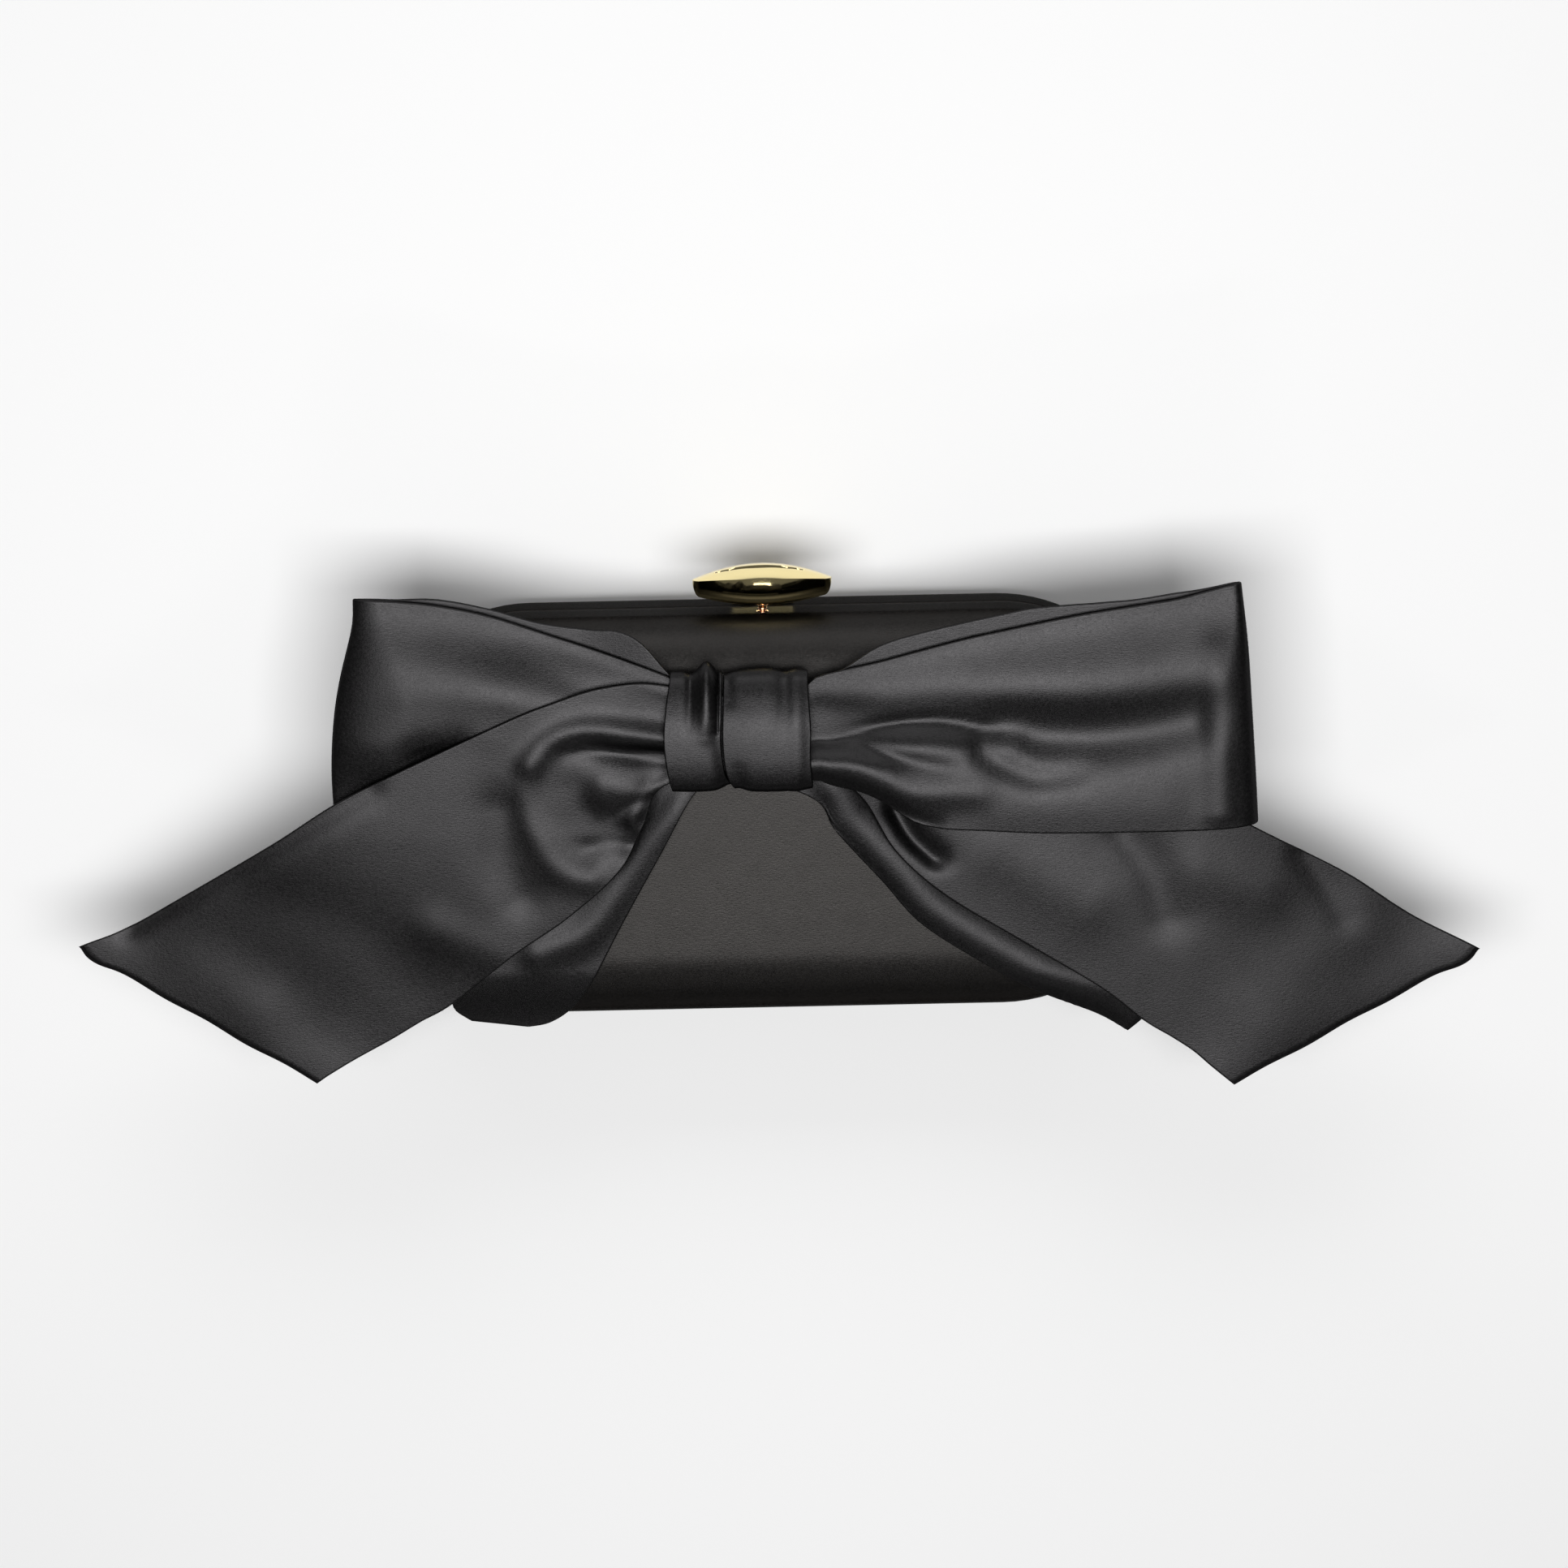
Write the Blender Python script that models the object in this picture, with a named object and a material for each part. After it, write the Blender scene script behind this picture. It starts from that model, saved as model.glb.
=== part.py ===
"""Satin clutch purse: a hinged box clutch with a large ribbon bow on its front.

The purse lies on its back.  +Z points out of the front face, +Y towards the clasp,
+X to the right.  The origin is the middle of the flat back face.  Sizes are in
millimetres and are turned into metres when a mesh is made.
"""

import math

import bmesh
import bpy
from mathutils import Matrix, Vector

MM = 0.001

# ---------------------------------------------------------------- driving sizes (mm)
HALF_WIDTH = 104.0
HALF_HEIGHT = 53.0
CORNER_RADIUS = 43.0
DEPTH = 44.0
SEAM_Z = DEPTH / 2
SEAM_GAP = 0.3
GAP = 0.3
CORNER_STEPS = 7
ROLL_STEPS = 4

EDGE_ROLL = 13.0
COVER_WALL = 0.8
PAD_THICKNESS = 1.5
PAD_INSET = 13.6
SHELL_INSET = 1.1
SHELL_FACE = 2.9
SHELL_WALL = 1.5
SHELL_ROLL = 11.0
LINING_INSET = 4.4
LINING_FACE = 4.7
LINING_WALL = 0.8
LINING_ROLL = 9.0
FRAME_LIP = 0.9
FRAME_LIP_OUTER = 1.1
FRAME_LIP_INNER = 5.2
FRAME_SKIRT_OUTER = 2.9
FRAME_SKIRT_INNER = 3.7
FRAME_SKIRT_DEPTH = 5.9

HINGE_Y = -54.5
HINGE_HALF = 59.7
KNUCKLES = 7
KNUCKLE_RADIUS = 1.2
KNUCKLE_GAP = 0.4
HINGE_BORE = 0.66
HINGE_PIN_RADIUS = 0.58
LEAF_OUTER_Y = -52.9
LEAF_INNER_Y = -52.4
LEAF_HEIGHT = 4.3
LEAF_CLEARANCE = 0.3
HINGE_RIVET_X = (-48.0, 0.0, 48.0)
HINGE_RIVET_DROP = 3.0

PIVOT_Y = 56.4
PIVOT_Z = 15.8
PIVOT_BORE = 0.86
PIVOT_PIN_RADIUS = 0.75
LEVER_EYE_RADIUS = 1.8
LEVER_EYES = ((-5.6, -2.2), (2.2, 5.6))
BRACKET_BASE = (53.3, 54.1)
BRACKET_Z = (10.8, 20.6)
BRACKET_HALF = 8.0
EAR_INNER = 6.0
EAR_OUTER = 6.8
CLASP_RIVET_X = (-4.4, 4.4)
CLASP_RIVET_Z = 12.4

LOZENGE_HALF = 18.0
LOZENGE_Z = 31.0
LOZENGE_DEPTH = (2.2, 8.6)
LOZENGE_GIRDLE_Y = (62.1, 62.8)
LOZENGE_GIRDLE_LEAN = 0.9
LOZENGE_DOME = 3.4
LOZENGE_BELLY = (4.0, 7.6)
LOZENGE_END_START = 0.9

STUD_Z = 31.0

KNOT_BASE_Z = 47.4
KNOT_TOP_Z = 58.5
KNOT_LOW_Y = 11.5
KNOT_HIGH_Y = 43.5
WRAP_WALL = 1.5
NARROW_WRAP_X = (-25.3, -11.2)
WIDE_WRAP_X = (-10.8, 12.2)
TAIL_DROOP = 8.0
TAIL_DROOP_REACH = 72.0


# ---------------------------------------------------------------- scene and materials
def clear_scene():
    for item in list(bpy.data.objects):
        bpy.data.objects.remove(item, do_unlink=True)


def material(name, colour, roughness, metallic):
    made = bpy.data.materials.new(name)
    made.use_nodes = True
    shader = made.node_tree.nodes["Principled BSDF"]
    shader.inputs["Base Color"].default_value = (*colour, 1.0)
    shader.inputs["Roughness"].default_value = roughness
    shader.inputs["Metallic"].default_value = metallic
    return made


def object_from(name, points, faces, finish):
    """Make an object from points in millimetres, with its faces turned outwards."""
    mesh = bpy.data.meshes.new(name)
    mesh.from_pydata([(x * MM, y * MM, z * MM) for x, y, z in points], [], faces)
    work = bmesh.new()
    work.from_mesh(mesh)
    bmesh.ops.recalc_face_normals(work, faces=work.faces)
    work.to_mesh(mesh)
    work.free()
    made = bpy.data.objects.new(name, mesh)
    bpy.context.scene.collection.objects.link(made)
    if finish is not None:
        mesh.materials.append(finish)
    return made


def joined_guide(name, parts):
    """One guide object that holds several separate closed shapes."""
    points = []
    faces = []
    for part_points, part_faces in parts:
        start = len(points)
        points.extend(part_points)
        faces.extend([[start + i for i in face] for face in part_faces])
    guide = object_from(name, points, faces, None)
    guide.hide_render = True
    guide.display_type = "WIRE"
    return guide


def boolean(target, guide, operation):
    step = target.modifiers.new(guide.name, "BOOLEAN")
    step.operation = operation
    step.solver = "EXACT"
    step.object = guide


# ---------------------------------------------------------------- shape builders
def lofted(rings, ends_closed=True):
    """Points and faces of a skin through rings of equal length."""
    count = len(rings[0])
    points = [point for ring in rings for point in ring]
    faces = []
    spans = len(rings) - 1 if ends_closed else len(rings)
    for level in range(spans):
        low = level * count
        high = ((level + 1) % len(rings)) * count
        for i in range(count):
            j = (i + 1) % count
            faces.append([low + i, low + j, high + j, high + i])
    if ends_closed:
        faces.append(list(range(count)))
        faces.append(list(range((len(rings) - 1) * count, len(rings) * count)))
    return points, faces


def box(low, high):
    (x0, y0, z0), (x1, y1, z1) = low, high
    rings = [[(x0, y0, z), (x1, y0, z), (x1, y1, z), (x0, y1, z)] for z in (z0, z1)]
    return lofted(rings)


def extruded_along_x(outline, x0, x1):
    return lofted([[(x, y, z) for y, z in outline] for x in (x0, x1)])


def rod_along_x(radius, centre_y, centre_z, stations, steps=12):
    """A turned rod: stations are (x, radius factor) pairs from one end to the other."""
    rings = []
    for x, factor in stations:
        ring = []
        for i in range(steps):
            angle = 2 * math.pi * i / steps
            ring.append(
                (
                    x,
                    centre_y + radius * factor * math.cos(angle),
                    centre_z + radius * factor * math.sin(angle),
                )
            )
        rings.append(ring)
    return lofted(rings)


def turned_along_y(x, z, stations, steps=10):
    """A turned shape whose axis runs along Y: stations are (y, radius) pairs."""
    rings = []
    for y, radius in stations:
        angles = [2 * math.pi * i / steps for i in range(steps)]
        rings.append([(x + radius * math.cos(a), y, z + radius * math.sin(a)) for a in angles])
    return lofted(rings)


def outline_ring(inset, z):
    """The purse's rounded outline, drawn in by an inset, at one height."""
    radius = CORNER_RADIUS - inset
    centre_x = HALF_WIDTH - CORNER_RADIUS
    centre_y = HALF_HEIGHT - CORNER_RADIUS
    ring = []
    for quarter, (sx, sy) in enumerate(((1, 1), (-1, 1), (-1, -1), (1, -1))):
        for step in range(CORNER_STEPS + 1):
            angle = math.pi / 2 * (quarter + step / CORNER_STEPS)
            ring.append(
                (
                    sx * centre_x + radius * math.cos(angle),
                    sy * centre_y + radius * math.sin(angle),
                    z,
                )
            )
    return ring


def half_z(depth, is_front):
    """Height of a point that lies a given depth in from that half's outer face."""
    return DEPTH - depth if is_front else depth


def rolled_profile(inset, face, roll):
    """(inset, depth) pairs from the face's edge round the roll to the straight wall."""
    pairs = []
    for step in range(ROLL_STEPS + 1):
        angle = math.pi / 2 * step / ROLL_STEPS
        pairs.append((inset + roll * (1 - math.sin(angle)), face + roll * (1 - math.cos(angle))))
    return pairs


def tray(name, inset, face, roll, wall, rim_depth, is_front, finish):
    """A tray with a rolled edge: outer skin, rim and inner skin in one closed solid."""
    outer = rolled_profile(inset, face, roll)
    inner = rolled_profile(inset + wall, face + wall, roll - wall)
    section = outer + [(inset, rim_depth), (inset + wall, rim_depth)] + inner[::-1]
    rings = [outline_ring(i, half_z(depth, is_front)) for i, depth in section]
    points, faces = lofted(rings)
    return object_from(name, points, faces, finish)


def slab(name, top, bottom, finish):
    """A closed solid between two grids of points of the same size."""
    rows = len(top)
    cols = len(top[0])
    points = [p for row in top for p in row] + [p for row in bottom for p in row]
    base = rows * cols
    faces = []
    for r in range(rows - 1):
        for c in range(cols - 1):
            a = r * cols + c
            quad = [a, a + 1, a + cols + 1, a + cols]
            faces.append(quad)
            faces.append([base + i for i in quad[::-1]])
    edge = [(0, c) for c in range(cols)] + [(r, cols - 1) for r in range(1, rows)]
    edge += [(rows - 1, c) for c in range(cols - 2, -1, -1)] + [(r, 0) for r in range(rows - 2, 0, -1)]
    for i, (r, c) in enumerate(edge):
        nr, nc = edge[(i + 1) % len(edge)]
        a = r * cols + c
        b = nr * cols + nc
        faces.append([a, base + a, base + b, b])
    return object_from(name, points, faces, finish)


# ---------------------------------------------------------------- the two halves of the case
def make_half(side, is_front, finishes):
    rim = SEAM_Z - SEAM_GAP / 2
    lip_back = rim - FRAME_LIP
    pieces = {}
    pieces["cover"] = tray(
        side + "_satin_cover", 0.0, 0.0, EDGE_ROLL, COVER_WALL, rim, is_front, finishes["satin"]
    )
    pieces["shell"] = tray(
        side + "_shell", SHELL_INSET, SHELL_FACE, SHELL_ROLL, SHELL_WALL,
        lip_back - GAP, is_front, finishes["board"],
    )
    pieces["lining"] = tray(
        side + "_lining", LINING_INSET, LINING_FACE, LINING_ROLL, LINING_WALL,
        lip_back - GAP, is_front, finishes["lining"],
    )
    pad_low = COVER_WALL + GAP
    pad_rings = [
        outline_ring(PAD_INSET, half_z(depth, is_front)) for depth in (pad_low, pad_low + PAD_THICKNESS)
    ]
    points, faces = lofted(pad_rings)
    pieces["padding"] = object_from(side + "_padding", points, faces, finishes["wadding"])
    pieces["frame"] = make_frame(side, is_front, lip_back, rim, finishes["steel"])
    return pieces


def make_frame(side, is_front, lip_back, rim, finish):
    """Rim frame: a lip that closes the layers' edges and a skirt inside the shell."""
    skirt = lip_back - FRAME_SKIRT_DEPTH
    section = (
        (FRAME_LIP_OUTER, rim),
        (FRAME_LIP_OUTER, lip_back),
        (FRAME_SKIRT_OUTER, lip_back),
        (FRAME_SKIRT_OUTER, skirt),
        (FRAME_SKIRT_INNER, skirt),
        (FRAME_SKIRT_INNER, lip_back),
        (FRAME_LIP_INNER, lip_back),
        (FRAME_LIP_INNER, rim),
    )
    rings = [outline_ring(inset, half_z(depth, is_front)) for inset, depth in section]
    points, faces = lofted(rings, ends_closed=False)
    return object_from(side + "_frame", points, faces, finish)


# ---------------------------------------------------------------- hinge along the bottom edge
def knuckle_outline(sign):
    """Eye and web of one knuckle in (y, z); sign is +1 for the front leaf, -1 for the back."""
    web_near = 0.3
    web_far = 1.0
    start = -math.asin(web_near / KNUCKLE_RADIUS)
    end = 2 * math.pi - math.asin(web_far / KNUCKLE_RADIUS)
    steps = 11
    points = []
    for i in range(steps + 1):
        angle = start + (end - start) * i / steps
        points.append((KNUCKLE_RADIUS * math.cos(angle), KNUCKLE_RADIUS * math.sin(angle)))
    plate_middle = (LEAF_OUTER_Y + LEAF_INNER_Y) / 2 - HINGE_Y
    points.append((plate_middle, -web_far))
    points.append((plate_middle, -web_near))
    return [(HINGE_Y + y, SEAM_Z - sign * z) for y, z in points]


def make_leaf(side, is_front, finish):
    sign = 1 if is_front else -1
    pitch = 2 * HINGE_HALF / KNUCKLES
    near = SEAM_Z + sign * LEAF_CLEARANCE
    far = SEAM_Z + sign * (LEAF_CLEARANCE + LEAF_HEIGHT)
    points, faces = box(
        (-HINGE_HALF, LEAF_OUTER_Y, min(near, far)), (HINGE_HALF, LEAF_INNER_Y, max(near, far))
    )
    leaf = object_from("hinge_leaf_" + side, points, faces, finish)
    eyes = []
    for i in range(1 if is_front else 0, KNUCKLES, 2):
        x0 = -HINGE_HALF + pitch * i + KNUCKLE_GAP / 2
        x1 = -HINGE_HALF + pitch * (i + 1) - KNUCKLE_GAP / 2
        eyes.append(extruded_along_x(knuckle_outline(sign), x0, x1))
    boolean(leaf, joined_guide("knuckles_" + side, eyes), "UNION")
    reach = HINGE_HALF + 1.0
    bore = rod_along_x(HINGE_BORE, HINGE_Y, SEAM_Z, ((-reach, 1), (reach, 1)))
    boolean(leaf, joined_guide("knuckle_bore_" + side, [bore]), "DIFFERENCE")
    return leaf


def cut_hinge_window(cover, side, is_front):
    """Opens the satin along the bottom rim so that the leaf lies against the shell."""
    sign = 1 if is_front else -1
    far = SEAM_Z + sign * (LEAF_CLEARANCE + LEAF_HEIGHT + GAP)
    near = SEAM_Z - sign * 1.0
    reach = HINGE_HALF + GAP
    window = box(
        (-reach, -HALF_HEIGHT - 1.0, min(near, far)), (reach, -HALF_HEIGHT + 0.95, max(near, far))
    )
    boolean(cover, joined_guide("hinge_window_" + side, [window]), "DIFFERENCE")


def make_hinge_rivets(side, is_front, leaf, half, finish):
    """Rivets through the leaf, the shell and the frame's skirt, peened inside."""
    sign = 1 if is_front else -1
    z = SEAM_Z + sign * HINGE_RIVET_DROP
    hole_radius = 0.85
    shank_radius = 0.55
    head_radius = 1.0
    stations = (
        (-53.45, 0.5),
        (-53.2, head_radius),
        (-53.1, head_radius),
        (-53.1, shank_radius),
        (-49.15, shank_radius),
        (-49.15, 0.95),
        (-48.8, 0.8),
    )
    rivets = []
    holes = []
    for number, x in enumerate(HINGE_RIVET_X, 1):
        points, faces = turned_along_y(x, z, stations, steps=8)
        rivets.append(object_from("hinge_rivet_%s_%d" % (side, number), points, faces, finish))
        holes.append(turned_along_y(x, z, ((-54.0, hole_radius), (-48.9, hole_radius)), steps=8))
    guide = joined_guide("hinge_rivet_holes_" + side, holes)
    for piece in (leaf, half["shell"], half["frame"]):
        boolean(piece, guide, "DIFFERENCE")
    return rivets


def make_hinge_pin(finish):
    end = HINGE_HALF + 0.3
    stations = ((-end - 0.6, 1.7), (-end, 1.7), (-end, 1), (end, 1), (end, 1.7), (end + 0.6, 1.7))
    points, faces = rod_along_x(HINGE_PIN_RADIUS, HINGE_Y, SEAM_Z, stations)
    return object_from("hinge_pin", points, faces, finish)


# ---------------------------------------------------------------- clasp on the top edge
def lozenge_shape():
    """Long blunt lozenge: a shallow dome above its girdle, a deeper belly below it."""
    stations = 16
    around = 20

    def grown(ends_and_middle, taper):
        at_end, in_middle = ends_and_middle
        return at_end + (in_middle - at_end) * taper

    points = [(-LOZENGE_HALF, LOZENGE_GIRDLE_Y[0], LOZENGE_Z)]
    for s in range(1, stations):
        share = -math.cos(math.pi * s / stations)
        taper = 1 - share**2
        end = max(0.0, (abs(share) - LOZENGE_END_START) / (1 - LOZENGE_END_START))
        round_end = math.sqrt(1 - end**2)
        depth = grown(LOZENGE_DEPTH, taper) * round_end
        belly = grown((LOZENGE_BELLY[0] * round_end, LOZENGE_BELLY[1]), taper)
        for a in range(around):
            angle = 2 * math.pi * a / around
            across = math.cos(angle)
            y = grown(LOZENGE_GIRDLE_Y, taper) + LOZENGE_GIRDLE_LEAN * across * taper
            if math.sin(angle) > 0:
                y += LOZENGE_DOME * taper * (1 - abs(across) ** 2.4)
            else:
                y -= belly * (1 - abs(across) ** 3.4)
            points.append((LOZENGE_HALF * share, y, LOZENGE_Z + depth * across))
    points.append((LOZENGE_HALF, LOZENGE_GIRDLE_Y[0], LOZENGE_Z))
    faces = []
    for a in range(around):
        b = (a + 1) % around
        faces.append([0, 1 + a, 1 + b])
        for s in range(stations - 2):
            low = 1 + s * around
            high = low + around
            faces.append([low + a, low + b, high + b, high + a])
        last = 1 + (stations - 2) * around
        faces.append([last + b, last + a, len(points) - 1])
    return points, faces


def lever_arm_outline():
    """Eye round the pivot pin and the bar that carries the lozenge, in (y, z)."""
    steps = 12
    points = []
    for i in range(steps + 1):
        angle = math.pi / 2 + math.pi * 1.5 * i / steps
        points.append(
            (
                PIVOT_Y + LEVER_EYE_RADIUS * math.cos(angle),
                PIVOT_Z + LEVER_EYE_RADIUS * math.sin(angle),
            )
        )
    bar_end = 28.5
    points.append((PIVOT_Y + LEVER_EYE_RADIUS, bar_end))
    points.append((PIVOT_Y, bar_end))
    return points


def make_lozenge(finish):
    points, faces = lozenge_shape()
    lozenge = object_from("clasp_lozenge", points, faces, finish)
    arms = [extruded_along_x(lever_arm_outline(), x0, x1) for x0, x1 in LEVER_EYES]
    boolean(lozenge, joined_guide("lever_arms", arms), "UNION")
    bore = rod_along_x(PIVOT_BORE, PIVOT_Y, PIVOT_Z, ((-9, 1), (9, 1)))
    boolean(lozenge, joined_guide("lever_bore", [bore]), "DIFFERENCE")
    return lozenge


def make_bracket(finish):
    low_y, high_y = BRACKET_BASE
    z0, z1 = BRACKET_Z
    points, faces = box((-BRACKET_HALF, low_y, z0), (BRACKET_HALF, high_y, z1))
    bracket = object_from("clasp_bracket", points, faces, finish)
    ear_radius = 1.9
    steps = 8
    outline = [(high_y - 0.4, PIVOT_Z + ear_radius + 0.8), (high_y - 0.4, PIVOT_Z - ear_radius - 0.8)]
    for i in range(steps + 1):
        angle = -math.pi / 2 + math.pi * i / steps
        outline.append(
            (PIVOT_Y + ear_radius * math.cos(angle), PIVOT_Z + ear_radius * math.sin(angle))
        )
    ears = [extruded_along_x(outline, sign * EAR_INNER, sign * EAR_OUTER) for sign in (-1, 1)]
    boolean(bracket, joined_guide("bracket_ears", ears), "UNION")
    bore = rod_along_x(PIVOT_BORE, PIVOT_Y, PIVOT_Z, ((-9, 1), (9, 1)))
    boolean(bracket, joined_guide("bracket_bore", [bore]), "DIFFERENCE")
    return bracket


def make_clasp_rivets(bracket, half, finish):
    stations = (
        (54.85, 0.5),
        (54.6, 1.05),
        (54.4, 1.05),
        (54.4, 0.55),
        (49.7, 0.55),
        (49.7, 1.0),
        (49.35, 0.8),
    )
    rivets = []
    holes = []
    for side, x in zip(("left", "right"), CLASP_RIVET_X):
        points, faces = turned_along_y(x, CLASP_RIVET_Z, stations, steps=8)
        rivets.append(object_from("clasp_rivet_" + side, points, faces, finish))
        holes.append(turned_along_y(x, CLASP_RIVET_Z, ((55.0, 0.85), (49.5, 0.85)), steps=8))
    guide = joined_guide("clasp_rivet_holes", holes)
    for piece in (bracket, half["cover"], half["shell"]):
        boolean(piece, guide, "DIFFERENCE")
    return rivets


def make_pivot_pin(finish):
    end = EAR_OUTER + GAP
    stations = ((-end - 0.4, 1.35), (-end, 1.5), (-end, 1), (end, 1), (end, 1.5), (end + 0.4, 1.35))
    points, faces = rod_along_x(PIVOT_PIN_RADIUS, PIVOT_Y, PIVOT_Z, stations)
    return object_from("clasp_pivot_pin", points, faces, finish)


def make_clasp_spring(finish):
    """Torsion spring coiled round the pivot pin between the lever's eyes."""
    wire_radius = 0.2
    coil_radius = 1.35
    turns = 3.5
    half_length = 1.6
    steps_per_turn = 12
    sides = 6
    total = int(turns * steps_per_turn)
    path = []
    for i in range(total + 1):
        angle = 2 * math.pi * i / steps_per_turn
        x = -half_length + 2 * half_length * i / total
        path.append(
            Vector(
                (x, PIVOT_Y + coil_radius * math.cos(angle), PIVOT_Z + coil_radius * math.sin(angle))
            )
        )
    rings = []
    for i, centre in enumerate(path):
        ahead = path[min(i + 1, total)]
        behind = path[max(i - 1, 0)]
        along = (ahead - behind).normalized()
        outward = Vector((0, centre.y - PIVOT_Y, centre.z - PIVOT_Z)).normalized()
        side = along.cross(outward).normalized()
        ring = []
        for k in range(sides):
            angle = 2 * math.pi * k / sides
            ring.append(tuple(centre + wire_radius * (math.cos(angle) * outward + math.sin(angle) * side)))
        rings.append(ring)
    points, faces = lofted(rings)
    return object_from("clasp_spring", points, faces, finish)


def make_stud(half, finish, washer_finish):
    """Ball stud that the lozenge closes over, with its washer inside the shell."""
    stations = (
        (48.9, 0.8),
        (49.12, 1.0),
        (49.12, 0.6),
        (53.3, 0.6),
        (53.3, 1.55),
        (53.6, 1.55),
        (53.65, 0.8),
        (53.8, 0.8),
        (53.95, 1.1),
        (54.3, 1.25),
        (54.7, 1.05),
        (54.95, 0.55),
    )
    points, faces = turned_along_y(0, STUD_Z, stations, steps=12)
    stud = object_from("clasp_stud", points, faces, finish)
    washer_section = ((49.6, 0.95), (49.6, 1.7), (49.3, 1.7), (49.3, 0.95))
    rings = []
    for y, radius in washer_section:
        angles = [2 * math.pi * i / 12 for i in range(12)]
        rings.append([(radius * math.cos(a), y, STUD_Z + radius * math.sin(a)) for a in angles])
    washer_points, washer_faces = lofted(rings, ends_closed=False)
    washer = object_from("stud_washer", washer_points, washer_faces, washer_finish)
    hole = turned_along_y(0, STUD_Z, ((54.0, 0.9), (49.7, 0.9)), steps=12)
    guide = joined_guide("stud_hole", [hole])
    for piece in (half["cover"], half["shell"]):
        boolean(piece, guide, "DIFFERENCE")
    return [stud, washer]


# ---------------------------------------------------------------- ribbon bow on the front
def smooth(value):
    value = min(max(value, 0.0), 1.0)
    return value * value * (3 - 2 * value)


def side_droop(x):
    """How far a tail hangs below the front face, out past the case's ends."""
    return TAIL_DROOP * smooth((abs(x) - HALF_WIDTH) / TAIL_DROOP_REACH)


def mixed(a, b, share):
    return tuple(p + (q - p) * share for p, q in zip(a, b))


def ribbon_grid(rows, columns):
    """(x, y) grid from rows of (upper edge point, lower edge point)."""
    return [[mixed(upper, lower, c / (columns - 1)) for c in range(columns)] for upper, lower in rows]


def make_loop(name, rows, finish):
    """One bow loop as a closed pillow: each row is upper, lower, bottom z and top z."""
    columns = 5
    bulge = (0.25, 0.85, 1.0, 0.85, 0.25)
    top = []
    bottom = []
    for upper, lower, low_z, high_z in rows:
        middle = (low_z + high_z) / 2
        half = (high_z - low_z) / 2
        line = [mixed(upper, lower, c / (columns - 1)) for c in range(columns)]
        top.append([(x, y, middle + half * b) for (x, y), b in zip(line, bulge)])
        bottom.append([(x, y, middle - half * b) for (x, y), b in zip(line, bulge)])
    return slab(name, top, bottom, finish)


def make_ribbon(name, rows, height, thickness, finish, columns=6):
    """A flat stretch of ribbon whose underside follows a height function of (x, y)."""
    grid = ribbon_grid(rows, columns)
    bottom = [[(x, y, height(x, y)) for x, y in row] for row in grid]
    top = [[(x, y, z + thickness) for x, y, z in row] for row in bottom]
    return slab(name, top, bottom, finish)


LEFT_LOOP_ROWS = (
    ((-8, 39), (-8, 16), 49.3, 52.4),
    ((-27, 40.5), (-27, 15), 49.1, 52.5),
    ((-45, 49.5), (-45, 8), 48.0, 52.8),
    ((-66, 56), (-68, 4), 46.6, 53.2),
    ((-88, 61), (-90, 1), 46.2, 53.6),
    ((-103, 62.5), (-107, -1), 46.2, 53.4),
    ((-105, 61.5), (-111, 1), 47.5, 51.5),
)

RIGHT_LOOP_ROWS = (
    ((-6, 39), (-6, 16), 51.3, 56.0),
    ((13.5, 41), (13.5, 14.5), 51.2, 56.4),
    ((36, 46), (35, 4), 50.0, 57.0),
    ((57, 51), (56, 0), 49.7, 57.5),
    ((90, 57), (90, -1), 49.7, 58.0),
    ((118, 62), (122, -1), 49.9, 57.5),
    ((122, 61.5), (126, 1), 51.5, 55.5),
)

LEFT_TAIL_ROWS = (
    ((-8, 37), (-8, 17)),
    ((-26.5, 39), (-26.5, 14)),
    ((-44, 38.5), (-37, -6)),
    ((-64, 32), (-52, -21)),
    ((-84, 23), (-69, -34)),
    ((-98, 17), (-78, -41)),
    ((-112, 10), (-86, -47)),
    ((-127, 0), (-96, -52)),
    ((-150, -14), (-107, -58)),
    ((-179, -28), (-117, -63.5)),
)

RIGHT_TAIL_ROWS = (
    ((-6, 37), (-6, 17)),
    ((13.5, 38), (13.5, 15)),
    ((32, 34), (28, 1)),
    ((56, 28), (46, -19)),
    ((84, 19), (66, -32)),
    ((106, 9), (81, -42)),
    ((126, -3), (94, -52)),
    ((138, -9), (104, -58)),
    ((158, -22), (112, -64)),
    ((185, -37), (120, -70)),
)

LEFT_UNDER_ROWS = (
    ((-8, 26), (-8, 14)),
    ((-20, 22), (-18, 9)),
    ((-34, 12), (-27, -6)),
    ((-48, -6), (-36, -23)),
    ((-62, -22), (-45, -39)),
    ((-74, -36), (-52, -48)),
    ((-82, -47), (-62, -52)),
)

RIGHT_UNDER_ROWS = (
    ((-6, 26), (-6, 14)),
    ((13.5, 20), (9, 10)),
    ((28, 10), (18, -2)),
    ((46, -8), (35, -21)),
    ((66, -26), (50, -35)),
    ((84, -40), (70, -46)),
    ((97, -53), (88, -56)),
)


def left_tail_height(x, y):
    up_the_step = (x + 105) * 0.348 + (y + 23) * 0.937
    laid = 48.0 + 6.4 * smooth((up_the_step + 24) / 46) - side_droop(x)
    return 52.8 + (laid - 52.8) * smooth((-26 - x) / 16)


def right_tail_height(x, y):
    laid = 47.3 - side_droop(x)
    return 49.2 + (laid - 49.2) * smooth((x - 13) / 18)


def under_height(x, y):
    return 44.5 + 1.2 * (1 - smooth((abs(x + 6.5) - 17) / 16))


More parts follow.
